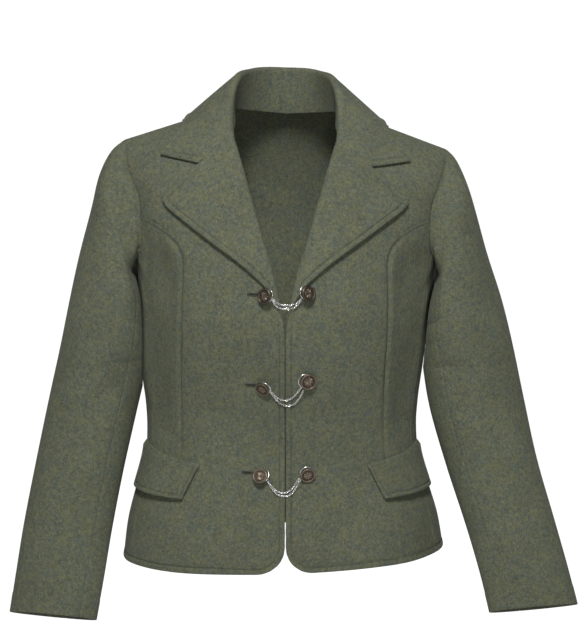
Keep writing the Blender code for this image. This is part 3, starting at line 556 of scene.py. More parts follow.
def makeLoden(name):
    # milled wool: fibres of five colours in small tangled flecks, a fine raised nap
    finish = Finish(name)
    look = lodenLook
    where = finish.place()
    drawn = finish.place(scale=(1.0, 1.0, 0.7))
    fleck = finish.noise(drawn, 560.0, 3.0, 0.68, 0.2)
    other = finish.noise(drawn, 740.0, 3.0, 0.68, 0.3)
    cloud = finish.noise(where, 290.0, 3.0, 0.6, 0.3)
    patch = finish.noise(where, 230.0, 3.0, 0.68, 0.2)
    broad = finish.noise(where, 70.0, 3.0, 0.6)
    drift = finish.noise(where, 26.0, 3.0, 0.55)
    wide = finish.noise(where, 7.0, 2.0, 0.5)
    fibre = finish.noise(finish.place(scale=(1.0, 1.0, 0.3)), 1600.0, 2.0, 0.6)
    tone = finish.blend(fleck.step(0.34, 0.66), look["deep"], look["olive"])
    tone = finish.blend((other + cloud * 0.4).step(0.62, 0.94) * 0.6, tone, look["grey"])
    tone = finish.blend((cloud + drift * 0.3).step(0.55, 0.85) * 0.45, tone, look["teal"])
    tone = finish.blend((other - fleck + 0.5).step(0.58, 0.84) * 0.35, tone, look["plum"])
    tone = finish.blend((patch + broad * 0.6).step(0.66, 0.98) * 0.66, tone, look["moss"])
    tone = finish.blend((cloud - patch - broad * 0.6 + 0.8).step(0.42, 0.72) * 0.60, tone, look["slate"])
    light = (fibre * 1.2 + 0.40) * (drift * 0.34 + 0.83) * (wide * 0.26 + 0.87)
    light = light * (cloud * 0.7 + 0.65) * (patch * 0.7 + 0.65) * (other * 0.8 + 0.60)
    scaled = finish.node("ShaderNodeVectorMath", {"operation": "SCALE"}, n0=tone, Scale=light)
    height = fibre * 0.5 + fleck * 0.7 + other * 0.4 + cloud * 0.8
    finish.set(Base_Color=finish.out(scaled), Roughness=look["roughness"],
               Normal=finish.bump(height, look["nap"], 0.0006))
    finish.set(Sheen_Weight=look["sheen"], Sheen_Roughness=0.55, Sheen_Tint=colour(0.80, 0.84, 0.72),
               Specular_IOR_Level=0.12)
    return finish.material


def makeThread():
    finish = Finish("stitchThread")
    ply = finish.noise(finish.place(), 1400.0, 2.0)
    tone = finish.blend(ply, colour(0.022, 0.030, 0.018), colour(0.060, 0.072, 0.045))
    finish.set(Base_Color=tone, Roughness=0.72, Normal=finish.bump(ply, 0.4, 0.0002))
    finish.set(Sheen_Weight=0.15, Specular_IOR_Level=0.3)
    return finish.material


def makeSlitShadow():
    # painted shade: a near-black matte finish for the sheet that stands in for the shade inside a
    # buttonhole's opening
    finish = Finish("slitShadow")
    grain = finish.noise(finish.place(), 900.0, 2.0)
    tone = finish.blend(grain, colour(0.006, 0.007, 0.005), colour(0.016, 0.018, 0.013))
    finish.set(Base_Color=tone, Roughness=1.0, Normal=finish.bump(grain, 0.3, 0.0002))
    return finish.material


def makeCoinMetal():
    # antiqued bronze: dark in the hollows, worn bright on the raised parts
    finish = Finish("coinMetal")
    where = finish.place()
    tarnish = finish.noise(where, 260.0, 4.0, 0.6)
    speck = finish.noise(where, 1100.0, 2.0)
    struck = finish.out(finish.node("ShaderNodeAttribute", {"attribute_name": "relief"}), "Fac")
    worn = (struck + speck * 0.16 - tarnish * 0.14).step(0.18, 0.56)
    dark = finish.blend(tarnish.step(0.35, 0.70), colour(0.034, 0.026, 0.020),
                        colour(0.085, 0.064, 0.048))
    tone = finish.blend(worn * 0.72, dark, colour(0.310, 0.246, 0.182))
    rough = 0.44 - worn * 0.16 + tarnish * 0.14
    finish.set(Base_Color=tone, Metallic=worn * 0.35 + 0.65, Roughness=rough,
               Normal=finish.bump(speck, 0.15, 0.0002))
    return finish.material


def makeChainMetal():
    finish = Finish("chainMetal")
    where = finish.place()
    scuff = finish.noise(where, 420.0, 3.0, 0.6)
    tone = finish.blend(scuff.step(0.38, 0.72), colour(0.93, 0.93, 0.92), colour(0.62, 0.61, 0.60))
    finish.set(Base_Color=tone, Metallic=1.0, Roughness=scuff * 0.22 + 0.14,
               Normal=finish.bump(scuff, 0.10, 0.0002))
    return finish.material


loden = makeLoden("lodenCloth")
threadMaterial = makeThread()
slitShadowMaterial = makeSlitShadow()
coinMaterial = makeCoinMetal()
chainMaterial = makeChainMetal()
print("materials made")


# lines of the cut
rollLine = [
    (-264.0, 1.2), (-232.0, 3.8), (-212.0, 7.5), (-177.0, 15.8), (-151.0, 24.0), (-106.0, 37.0),
    (-61.0, 50.5), (-36.0, 58.5), (-22.9, 63.0), (-9.0, 65.8), (4.0, 67.2), (14.0, 68.0),
]
princessLine = [
    (-561.0, 145.0), (-495.0, 138.0), (-430.0, 131.0), (-397.0, 129.0), (-340.0, 129.0),
    (-294.0, 130.0), (-228.0, 131.0), (-195.0, 129.5), (-170.0, 129.0), (-152.0, 136.0),
    (-140.0, 152.0), (-132.0, 168.0), (-128.0, 182.5),
]
armholeLine = [
    (-31.0, 204.0), (-39.0, 203.0), (-52.0, 201.0), (-67.0, 196.5), (-88.0, 189.5), (-108.0, 184.5),
    (-128.0, 182.5), (-150.0, 182.0), (-166.0, 184.0), (-175.0, 187.5), (-179.0, 191.0), (-180.0, 193.2),
]
lapelEdge = [
    (-234.0, 4.6), (-225.0, 8.0), (-211.0, 16.0), (-193.0, 31.0), (-170.5, 57.0), (-147.0, 90.0),
    (-121.5, 126.0), (-111.5, 140.0), (-105.0, 147.5), (-99.0, 150.0),
]
lapelTop = [(-22.9, 63.0), (-55.6, 105.4), (-87.0, 140.0), (-93.0, 147.0), (-99.0, 150.0)]
collarEnd = np.array([(-22.9, 63.0), (-55.6, 105.4), (-49.0, 155.5)])

roll = placesOnLine(rollLine)
princess = placesOnLine(princessLine)
armholeFront = placesOnLine(armholeLine)
armholeFront[:, 1] = np.minimum(armholeFront[:, 1], jacket["ridgeLevel"])
armholeBack = armholeFront[::-1] * np.array([-1.0, 1.0]) + np.array([180.0, 0.0])
meetSide = int(np.argmax(armholeFront[:, 0] >= jacket["sideAngle"]))
meetPrincess = int(np.argmin(np.abs(armholeFront[:, 1] - princess[-1, 1])))
armholeFront[meetPrincess] = princess[-1]
sideSeam = np.stack([np.full(60, jacket["sideAngle"]),
                     np.linspace(jacket["hemLevel"], armholeFront[meetSide, 1], 60)], axis=-1)

panelLook = {
    "columns": 30, "rows": 168,
    "seamDip": 0.9, "seamWidth": 1.8,          # sewn seams sink between the panels
    "edgeRise": 0.8, "stitchGroove": 0.9,      # turned edges stand up as far as their stitching
    "frontStitch": 6.6, "hemStitch": 8.0, "princessStitch": (1.9, 6.6),
    "princessDip": 1.5, "princessWidth": 3.2, "stitchedLength": 46.0,
    "tipAcross": 46.0, "tipMatch": -70.0,      # roll line place whose row meets the princess tip
    "backMatch": 84.0,                         # how far below the armpit its row starts at the centre
    "sideHollow": 5.0, "hollowLevels": (-430.0, -330.0, -190.0, -140.0),
}


def edgeDistance(points, line):
    # least distance of each grid point from the points of a line
    return np.array([
        np.sqrt(np.min(np.sum((row[:, None] - line[None]) ** 2, axis=-1), axis=1)) for row in points
    ])


def seamShape(distance, depth=None, width=None):
    depth = panelLook["seamDip"] if depth is None else depth
    return -depth * np.exp(-(distance / (width or panelLook["seamWidth"])) ** 2)


def turnedShape(distance, stitch, swell=1.0):
    # a doubled edge: a soft roll between the edge and its stitching, which presses a groove
    share = np.clip(distance / stitch, 0.0, 1.0)
    rolled = panelLook["edgeRise"] * np.maximum(np.sin(math.pi * (0.16 + 0.84 * share)), 0.0) ** 0.7
    pressed = panelLook["stitchGroove"] * np.exp(-((distance - stitch) / 1.1) ** 2)
    return (rolled - pressed) * swell


def groove(distance, stitch, depth=0.4):
    return -depth * np.exp(-((distance - stitch) / 0.9) ** 2)


def princessShape(points, side):
    # a soft deep dip that fades towards the armhole, where two rows of stitching press grooves
    line = lineOnBody(princess, side)
    distance = edgeDistance(points, line)
    toTip = np.linalg.norm(points - line[-1], axis=-1)
    below = ramp(toTip, 24.0, 90.0)
    bust = 0.4 + 0.6 * ramp(points[..., 2], -450.0, -400.0) + 1.2 * ramp(points[..., 2], -400.0, -300.0)
    dip = seamShape(distance, panelLook["princessDip"], panelLook["princessWidth"]) * below * bust
    return dip, distance, (1.0 - ramp(toTip, panelLook["stitchedLength"], 60.0)) * ramp(toTip, 4.0, 9.0)


def panelPoints(places, side, insetColumns, insetRows):
    grid = bodyPoint(places[..., 0], places[..., 1], side)
    return laidOut(grid, panelLook["columns"], panelLook["rows"], insetColumns, insetRows)


def lineOnBody(places, side, count=220):
    dense = spread(places, count)
    return onBody(dense, side)


def cornerPlaces(start, end):
    # the rounded hem corner, from the hem, 0, to the front edge, 90
    turn = np.radians(np.linspace(start, end, 26))
    return bodyPlace(jacket["frontEdge"] + jacket["cornerRadius"] * (1.0 - np.sin(turn)),
                     jacket["hemLevel"] + jacket["cornerRadius"] * (1.0 - np.cos(turn)))


def roundedCorner(places):
    # squares about the corner's centre become circles: p max(|x|, |z|) / |p|
    angle, level = places[..., 0], places[..., 1]
    power = 2.0 / bodySize(squarenessOf, level)
    across = bodySize(halfWidthOf, level) * np.sin(np.radians(angle)) ** power
    right = jacket["frontEdge"] + jacket["cornerRadius"]
    high = jacket["hemLevel"] + jacket["cornerRadius"]
    aside = np.maximum(right - across, 0.0)
    down = np.maximum(high - level, 0.0)
    scale = np.maximum(aside, down) / np.maximum(np.hypot(aside, down), 1e-9)
    turned = bodyPlace(right - aside * scale, high - down * scale)
    return np.where(((aside > 0.0) & (down > 0.0))[..., None], turned, places)


def hemStitchAt(points):
    # the hem's stitching drops to the front edge's distance before the corner
    grown = ramp(np.abs(points[..., 0]), 42.0, 90.0)
    return panelLook["frontStitch"] + (panelLook["hemStitch"] - panelLook["frontStitch"]) * grown


def frontEdgePlaces(square=False):
    # hem corner, front edge, then the roll line stepped in behind the lapel's fold
    corner = cornerPlaces(0.0, 90.0)
    if square:
        corner = bodyPlace(np.full(2, jacket["frontEdge"]),
                           jacket["hemLevel"] + np.array([0.0, jacket["cornerRadius"]]))
    height = np.linspace(jacket["hemLevel"] + jacket["cornerRadius"], jacket["breakHeight"], 60)
    edge = bodyPlace(np.full(60, jacket["frontEdge"]), height)
    rolled = spread(roll, 80)
    inset = ramp(rolled[:, 1], -244.0, -212.0) * (jacket["rollRadius"] + jacket["neckInset"])
    atNeck = ramp(rolled[:, 1], -20.0, 8.0)
    inset = inset * (1.0 - atNeck) + jacket["neckInset"] * atNeck
    return joined(corner, edge, sidewards(rolled, inset))


def hemLine(first, last, count=200):
    level = np.full(count, jacket["hemLevel"])
    return spread(np.stack([np.linspace(first, last, count), level], axis=-1), count)


words = {-1: "right", 1: "left"}
seamInset = jacket["clothWall"] / 2.0 - 0.6
edgeInset = jacket["clothWall"] / 2.0


def makeFront(side):
    # rows that meet the armhole end of the princess seam start high on the roll line, so that
    # they cross that seam instead of running along it
    inner = frontEdgePlaces(True)
    fullEdge = frontEdgePlaces()
    edgeLine = onBody(fullEdge, side)
    armhole = armholeFront[:meetPrincess + 1][::-1]
    high = int(np.argmax(inner[:, 1] > bodyPlace(panelLook["tipAcross"], panelLook["tipMatch"])[1]))
    inner = joined(spread(inner[:high + 1], 220), spread(inner[high:], 90))
    outer = joined(spread(princess, 220), spread(armhole, 90))
    places = roundedCorner(between(inner, outer, 90))
    points = panelPoints(places, side, (0.35, seamInset), (edgeInset, seamInset))
    flip = side < 0
    normal = gridNormals(points, flip)
    toEdge = edgeDistance(points, edgeLine)
    hem = spread(hemLine(bodyPlace(jacket["hemStart"], jacket["hemLevel"])[0], princess[0, 0]), 160)
    toHem = edgeDistance(points, onBody(hem, side))
    toArmhole = edgeDistance(points, lineOnBody(armhole, side))
    toShoulder = edgeDistance(points, bodyPoint(places[-1, :, 0], places[-1, :, 1], side))
    folded = 1.0 - ramp(points[..., 2], jacket["breakHeight"] + 4.0, jacket["breakHeight"] + 30.0)
    relief = turnedShape(toEdge, panelLook["frontStitch"]) * folded
    relief += turnedShape(toHem, hemStitchAt(points)) * ramp(toEdge, 3.0, 9.0)
    dip, toPrincess, stitched = princessShape(points, side)
    relief += dip + seamShape(toArmhole, 0.6) * ramp(-points[..., 2], 60.0, 120.0)
    relief += seamShape(toShoulder, 0.2)
    for stitch in panelLook["princessStitch"]:
        relief += groove(toPrincess, stitch, 0.45) * stitched
    points = points + relief[..., None] * normal
    piece = clothShell("frontCloth_" + words[side], points, jacket["clothWall"], flip, loden)
    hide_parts("front_" + words[side])
    return piece


def makeSideFront(side):
    armhole = armholeFront[meetPrincess:meetSide + 1][::-1]
    outer = joined(spread(sideSeam, 130), spread(armhole, 31))
    inner = spread(princess, len(outer))
    places = between(inner, outer, 40)
    points = panelPoints(places[:-1], side, (seamInset, seamInset), (edgeInset, 0.0))
    flip = side < 0
    normal = gridNormals(points, flip)
    toHem = edgeDistance(points, onBody(hemLine(princess[0, 0], jacket["sideAngle"]), side))
    relief = turnedShape(toHem, panelLook["hemStitch"])
    relief += princessShape(points, side)[0]
    # a hollow H sin(pi s^1.3)^1.2 across the panel at chest height
    share = np.linspace(0.0, 1.0, points.shape[1])[None, :]
    low, lowFull, highFull, high = panelLook["hollowLevels"]
    chest = ramp(points[..., 2], low, lowFull) * (1.0 - ramp(points[..., 2], highFull, high))
    relief -= panelLook["sideHollow"] * chest * np.sin(math.pi * share ** 1.3) ** 1.2
    relief += seamShape(edgeDistance(points, lineOnBody(sideSeam, side)))
    toArmhole = edgeDistance(points, lineOnBody(armhole, side))
    relief += seamShape(toArmhole, 0.6) * ramp(-points[..., 2], 128.0, 150.0)
    points = points + relief[..., None] * normal
    piece = clothShell("sideFrontCloth_" + words[side], points, jacket["clothWall"], flip, loden)
    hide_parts("side_front_" + words[side])
    return piece


def makeBack(side):
    # rows rise from the centre towards the armpit, so that they cross the armhole's foot
    below, rows = 130, 190
    neckLevel = bodyPlace(0.0, jacket["backNeckHeight"], True)[1]
    meetLevel = sideSeam[-1, 1] - panelLook["backMatch"]
    levels = np.concatenate([np.linspace(jacket["hemLevel"], meetLevel, below),
                             np.linspace(meetLevel, neckLevel, rows - below + 1)[1:]])
    centre = np.stack([np.full(rows, 180.0), levels], axis=-1)
    underarm = joined(armholeFront[meetSide:], armholeBack)
    outer = joined(spread(sideSeam, below), spread(underarm, rows - below + 1))
    share = np.linspace(0.0, 1.0, 30)
    neckAcross = jacket["neckHalf"] * np.sin(np.radians(90.0 * share))
    neckHeight = jacket["backNeckHeight"] + (jacket["ridgeLevel"] - jacket["backNeckHeight"]) * share ** 2
    shoulderAcross = jacket["neckHalf"] + (jacket["shoulderHalf"] - jacket["neckHalf"]) * share
    shoulderHeight = jacket["ridgeLevel"] - jacket["shoulderFall"] * (shoulderAcross - jacket["neckHalf"])
    topLine = joined(bodyPlace(neckAcross, neckHeight, True),
                     bodyPlace(shoulderAcross, shoulderHeight, True))
    places = between(centre, outer, 59)
    rise = np.linspace(0.0, 1.0, rows) ** 4
    places = places + rise[:, None, None] * (topLine - places[-1])[None]
    points = panelPoints(places, side, (seamInset, seamInset), (edgeInset, seamInset))
    flip = side > 0
    normal = gridNormals(points, flip)
    toHem = edgeDistance(points, onBody(hemLine(jacket["sideAngle"], 180.0), side))
    relief = turnedShape(toHem, panelLook["hemStitch"])
    toCentre = edgeDistance(points, lineOnBody(centre, side))
    relief += seamShape(toCentre)
    relief += seamShape(edgeDistance(points, lineOnBody(sideSeam, side)))
    relief += seamShape(edgeDistance(points, lineOnBody(underarm, side)), 0.4)
    relief += seamShape(edgeDistance(points, onBody(topLine, side)), 0.4)
    points = points + relief[..., None] * normal
    piece = clothShell("backCloth_" + words[side], points, jacket["clothWall"], flip, loden)
    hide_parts("back_" + words[side])
    return piece


# sleeves
sleeveSections = [
    (204.0, -29.5, 193.5, -180.0, -2.0, 58.0, 0.0, 0.0, 0.0, 6.0),
    (219.5, -46.0, 196.0, -192.0, -5.0, 62.0, 0.0, -2.5, 0.0, 5.0),
    (233.5, -76.0, 190.0, -207.0, -10.0, 64.0, 0.0, -3.0, 0.0, 5.0),
    (245.0, -115.0, 182.0, -229.0, -14.0, 62.0, 0.0, -1.9, 0.0, 4.0),
    (260.6, -171.0, 177.0, -257.0, -16.0, 59.0, 1.0, -1.6, 0.0, 3.0),
    (276.2, -229.0, 175.0, -292.0, -17.0, 56.0, 2.0, 0.8, 0.0, 2.0),
    (290.2, -289.0, 179.0, -326.0, -17.0, 52.0, 3.0, 1.8, -1.0, 1.0),
    (306.5, -362.0, 189.5, -376.0, -18.0, 47.0, 5.0, 1.2, -2.4, 0.0),
    (323.2, -438.0, 208.0, -447.0, -24.0, 41.0, 6.0, 1.4, -0.4, -1.0),
    (342.0, -515.0, 228.0, -523.0, -34.0, 34.0, 8.0, 4.7, 4.4, -2.0),
    (355.5, -576.0, 242.5, -586.0, -44.0, 28.0, 9.0, 8.0, 8.0, -4.0),
    (366.0, -627.0, 253.5, -638.0, -54.0, 24.0, 9.0, 10.5, 9.5, -5.0),
]
# side, turn, share of the length from the armhole, slant, halfLength, halfWidth, bend, depth
sleeveFolds = [
    (-1, 42.0, 0.16, 6.0, 58.0, 13.0, 0.0, 3.0),
    (1, 36.0, 0.17, 4.0, 50.0, 13.0, 0.0, 2.6),
    (-1, 84.0, 0.20, 10.0, 66.0, 15.0, 0.0, -3.6),
    (1, 90.0, 0.22, 12.0, 60.0, 15.0, 0.0, -3.4),
    (-1, -62.0, 0.24, -10.0, 70.0, 17.0, 0.0, -3.8),
    (1, -56.0, 0.21, -12.0, 62.0, 17.0, 0.0, -3.4),
    (-1, 102.0, 0.62, 30.0, 44.0, 15.0, 0.0, -2.8),
    (1, 96.0, 0.60, 34.0, 46.0, 15.0, 0.0, -3.0),
    (-1, -70.0, 0.66, -28.0, 40.0, 15.0, 0.0, -2.4),
    (1, -66.0, 0.64, -32.0, 42.0, 15.0, 0.0, -2.4),
    (-1, 128.0, 0.12, 0.0, 60.0, 26.0, 0.0, 4.0),
    (1, 128.0, 0.12, 0.0, 60.0, 26.0, 0.0, 4.0),
    # finer creases
    (-1, 118.0, 0.17, 62.0, 26.0, 6.0, 4.0, -1.6),
    (1, 120.0, 0.16, 58.0, 24.0, 6.0, -3.0, -1.7),
    (-1, 110.0, 0.26, 50.0, 30.0, 7.0, 5.0, -1.5),
    (1, 114.0, 0.25, 56.0, 26.0, 7.0, 4.0, -1.6),
    (-1, 130.0, 0.40, 74.0, 24.0, 6.0, 3.0, -1.3),
    (1, 134.0, 0.38, 78.0, 24.0, 6.0, 3.0, -1.7),
    (1, 138.0, 0.45, 82.0, 22.0, 6.0, -3.0, -1.5),
    (-1, 124.0, 0.53, 66.0, 28.0, 7.0, -4.0, -1.4),
    (1, 118.0, 0.54, 64.0, 30.0, 7.0, 5.0, -1.6),
    (-1, 84.0, 0.57, 48.0, 34.0, 8.0, 6.0, -1.3),
    (1, 80.0, 0.66, 52.0, 30.0, 8.0, -5.0, -1.2),
    (-1, 60.0, 0.48, 26.0, 44.0, 11.0, 5.0, -0.9),
    (1, 52.0, 0.44, 22.0, 40.0, 11.0, 4.0, -0.9),
    (-1, 70.0, 0.80, 12.0, 52.0, 12.0, 4.0, -1.1),
    (1, 64.0, 0.82, 10.0, 48.0, 12.0, -4.0, -1.0),
    (-1, -84.0, 0.55, -54.0, 34.0, 8.0, 5.0, -1.7),
    (1, -86.0, 0.57, -50.0, 36.0, 8.0, -5.0, -1.6),
    (-1, -96.0, 0.36, -40.0, 38.0, 9.0, 4.0, -1.5),
    (1, -92.0, 0.34, -44.0, 34.0, 9.0, 4.0, -1.5),
    (-1, -40.0, 0.44, -14.0, 50.0, 13.0, 4.0, -1.2),
    (1, -36.0, 0.46, -12.0, 46.0, 13.0, 4.0, -1.1),
    (-1, -60.0, 0.84, -8.0, 50.0, 13.0, 4.0, -1.2),
    (1, -66.0, 0.80, -10.0, 46.0, 13.0, 4.0, -1.2),
    (-1, 14.0, 0.30, 6.0, 60.0, 15.0, 4.0, -0.8),
    (1, 10.0, 0.33, 4.0, 56.0, 15.0, 4.0, -0.8),
]
sleeveLook = {
    "rows": 176, "topColumns": 62, "underColumns": 30, "length": 610.0, "radius": 52.0,
    "frontSeam": 130.0, "hindSeam": -105.0, "headRoll": 1.5, "ease": 0.8,
    "fullness": 0.5,
}


def sleeveRelief(turns, along, side):
    height = np.zeros(np.broadcast(turns, along).shape)
    for fold in sleeveFolds:
        if fold[0] == side:
            roundSleeve = np.radians(turns - fold[1]) * sleeveLook["radius"]
            height = height + foldHeight(fold, roundSleeve, (fold[2] - along) * sleeveLook["length"])
    return height


def armholeRing(side, turns):
    half = spread(armholeFront, 200)
    wrapped = np.where(turns > 180.0, 360.0 - turns, np.abs(turns)) / 180.0
    onFront = (turns >= 0.0) & (turns <= 180.0)
    index = np.linspace(0.0, 1.0, 200)
    angle = np.interp(wrapped, index, half[:, 0])
    level = np.interp(wrapped, index, half[:, 1])
    angle = np.where(onFront, angle, 180.0 - angle)
    return bodyLayer(np.stack([angle, level], axis=-1), side, sleeveLook["ease"] * wrapped ** 8)


def sleevePoints(side, turns, rows):
    # rings C + H cos t - (0, D, 0) sin t with the folds, drawn to the armhole at the top
    table = smoothTable(sleeveSections, rows)
    outerX, outerZ, innerX, innerZ, centreY, halfDepth, lift, outerShift, innerShift, drop = [
        table[:, [k]] for k in range(10)
    ]
    turn = np.radians(turns)[None, :]
    halfX = (outerX - innerX) / 2.0
    halfZ = (outerZ - innerZ) / 2.0
    relief = sleeveRelief(turns[None, :], np.linspace(0.0, 1.0, rows)[:, None], side)
    grow = 1.0 + relief / np.maximum(np.hypot(halfX * np.cos(turn), halfDepth * np.sin(turn)), 1.0)
    # the side next to the body is fuller below the armpit, |cos t|^p
    share = np.linspace(0.0, 1.0, rows)
    full = 1.0 - sleeveLook["fullness"] * ramp(share, 0.0, 0.06) * (1.0 - ramp(share, 0.28, 0.55))
    reach = np.where(np.cos(turn) > 0.0, np.cos(turn), -np.abs(np.cos(turn)) ** full[:, None])
    x = (outerX + innerX) / 2.0 + grow * halfX * reach
    z = (outerZ + innerZ) / 2.0 + grow * halfZ * reach + lift * np.sin(turn)
    y = centreY - grow * halfDepth * np.sin(turn)
    outerShare = (1.0 + np.cos(turn)) / 2.0
    x = side * x + outerShift * outerShare + innerShift * (1.0 - outerShare)
    z = z - side * drop
    points = np.stack([x, y, z], axis=-1)
    hold = np.clip(1.0 - share / 0.2, 0.0, 1.0) ** 2
    points = points + hold[:, None, None] * (armholeRing(side, turns) - points[0])[None]
    clearance = jacket["sleeveClearance"] * ramp(share, 0.0, 0.05)[:, None]
    lifted = liftClear(points, np.broadcast_to(clearance, points.shape[:2]))
    wrapped = np.minimum(np.abs(turns), 360.0 - np.abs(turns))
    besideBody = ramp(wrapped, 70.0, 120.0)[None, :, None]
    return points + (lifted - points) * besideBody * ramp(share, 0.0, 0.02)[:, None, None]


def makeSleeve(side):
    look = sleeveLook
    flip = side < 0
    for name, node, start, end, columns in (
        ("topSleeveCloth_", "top_sleeve_", look["hindSeam"], look["frontSeam"], look["topColumns"]),
        ("underSleeveCloth_", "under_sleeve_", look["frontSeam"], 360.0 + look["hindSeam"],
         look["underColumns"]),
    ):
        turns = np.linspace(start, end, 120)
        grid = sleevePoints(side, turns, 260)
        points = laidOut(grid, columns, look["rows"], (seamInset, seamInset), (0.1, edgeInset))
        normal = gridNormals(points, flip)
        toHead = edgeDistance(points, grid[0])
        toHind = edgeDistance(points, grid[:, 0])
        toFore = edgeDistance(points, grid[:, -1])
        toCuff = edgeDistance(points, grid[-1])
        aside = np.linspace(start, end, points.shape[1])[None, :]
        upper = ramp(np.abs(aside), 12.0, 40.0) * (1.0 - ramp(np.abs(aside), 95.0, 130.0))
        relief = seamShape(toHind, 0.6) + seamShape(toFore, 0.5) + seamShape(toHead, 0.3)
        relief += upper * look["headRoll"] * np.exp(-((toHead - 7.0) / 5.0) ** 2)
        relief += 0.35 * (1.0 - ramp(toCuff, 24.0, 30.0)) - 0.25 * np.exp(-((toCuff - 27.0) / 2.0) ** 2)
        points = points + relief[..., None] * normal
        piece = clothShell(name + words[side], points, jacket["clothWall"], flip, loden)
        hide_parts(node + words[side])


# lapels and collar
foldLook = {
    "leafColumns": 34, "rows": 96,
    "stitch": 6.6, "endStitch": 6.5, "swell": 1.5,     # turned edges, stronger than the panels'
    "crown": 0.5,                                      # rise of a lapel's middle
    "spring": 2.2, "springWidth": 30.0,                # its free edge stands off the chest
    "slimRadius": 1.1, "slimWall": 1.3, "slimLevel": -243.0,     # the foot is folded flatter
    "fullRadiusLevel": -198.0, "fullWallLevel": -206.0,
    "footPlace": (3.6, -234.0), "gorgePlace": (63.0, -22.9),     # ends of the fold, x and z
    "gorgeDip": 0.12, "freeTop": (55.0, 60.0),         # the top is free beyond the collar
}


def foldedEdge(distance, stitch):
    return turnedShape(distance, foldLook[stitch], foldLook["swell"])


def foldPoints(rolled, side, radius, height, turnCount=18):
    # from inside the front, round the roll line to its outside: base + sideways + outwards
    radius = np.broadcast_to(radius, (len(rolled),))
    tail = 0.3 + jacket["facingTail"] * ramp(radius, 2.2, jacket["rollRadius"])[:, None]
    perDegree = sidewards(rolled, 1.0)[:, 0] - rolled[:, 0]
    inner = rolled.copy()
    inner[:, 0] += perDegree * radius
    base = onBody(rolled, side)
    beside = onBody(inner, side)
    sideways = (beside - base) / np.linalg.norm(beside - base, axis=1, keepdims=True)
    outwards = bodyNormal(rolled[:, 0], rolled[:, 1], side)
    middle = (height - radius)[:, None]
    radius = radius[:, None]
    rows = []
    for share in np.linspace(1.0, 0.2, 5):
        rows.append(base + sideways * (radius + tail * share) + outwards * (middle - radius))
    for turn in np.radians(np.linspace(270.0, 96.0, turnCount)):
        reach = radius * (1.0 + math.cos(turn))
        rows.append(base + sideways * reach + outwards * (middle + radius * math.sin(turn)))
    return np.stack(rows, axis=1), inner


def alongRows(points):
    return np.broadcast_to(np.linspace(0.0, 1.0, len(points))[:, None], points.shape[:2])


def makeLapel(side):
    look = foldLook
    start, gorge = [int(np.argmin(np.abs(roll[:, 1] - bodyPlace(*look[place])[1])))
                    for place in ("footPlace", "gorgePlace")]
    count = 110
    rolled = spread(roll[start:gorge + 1], count)
    opened = ramp(rolled[:, 1], look["slimLevel"], look["fullRadiusLevel"])
    thickened = ramp(rolled[:, 1], look["slimLevel"], look["fullWallLevel"])
    radius = look["slimRadius"] + (jacket["rollRadius"] - look["slimRadius"]) * opened
    wall = look["slimWall"] + (jacket["foldedWall"] - look["slimWall"]) * thickened
    fold, inner = foldPoints(rolled, side, radius, jacket["layGap"] + wall)
    edge = spread(placesOnLine(lapelEdge), count)
    top = spread(placesOnLine(lapelTop), 60)
    top = top + (inner[-1] - top[0]) * np.linspace(1.0, 0.0, 60)[:, None] ** 3
    leaf = between(inner, edge, 60)
    leaf = leaf + (np.linspace(0.0, 1.0, count) ** 4)[:, None, None] * (top - leaf[-1])[None]
    leaf[-1, :, 1] -= jacket["seamGap"] * 0.5
    share = np.linspace(0.0, 1.0, 60)[None, :]
    along = np.linspace(0.0, 1.0, count)[:, None]
    crown = look["crown"] * np.sin(math.pi * share) * np.sin(math.pi * along) ** 0.7
    wave = 0.9 * np.exp(-((along - 0.55) / 0.16) ** 2) * share ** 3
    over = bodyLayer(leaf, side, jacket["layGap"] + wall[:, None] + crown + wave)
    grid = np.concatenate([fold, over[:, 1:]], axis=1)
    points = laidOut(grid, look["leafColumns"], look["rows"], (1.0, 1.6), (0.6, 0.5))
    flip = side < 0
    normal = gridNormals(points, flip)
    toEdge = edgeDistance(points, grid[:, -1])
    toTop = edgeDistance(points, grid[-1, 23:])
    column = np.arange(points.shape[1])
    onLeaf = ramp(edgeDistance(points, over[:, 0]), 2.0, 6.0) * ramp(column, 14.0, 20.0)[None, :]
    free = ramp(edgeDistance(points, bodyLayer(top[:1], side, np.array([3.6]))), *look["freeTop"])
    up = alongRows(points)
    nearest = foldedEdge(toEdge, "stitch") * ramp(toTop, 3.0, 9.0) * ramp(up, 0.03, 0.08)
    relief = (nearest + foldedEdge(toTop, "endStitch") * free) * onLeaf
    relief += seamShape(toTop, look["gorgeDip"]) * (1.0 - free)
    sprung = look["spring"] * (1.0 - ramp(toEdge, 0.0, look["springWidth"])) * onLeaf
    relief += sprung * ramp(up, 0.12, 0.4) * (1.0 - 0.6 * ramp(up, 0.8, 1.0))
    points = points + relief[..., None] * normal
    wall = np.interp(np.linspace(0.0, 1.0, len(points)), np.linspace(0.0, 1.0, count), wall)
    piece = clothShell("lapelCloth_" + words[side], points, wall[:, None], flip, loden)
    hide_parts("lapel_" + words[side])
    return points, gridNormals(points, flip)


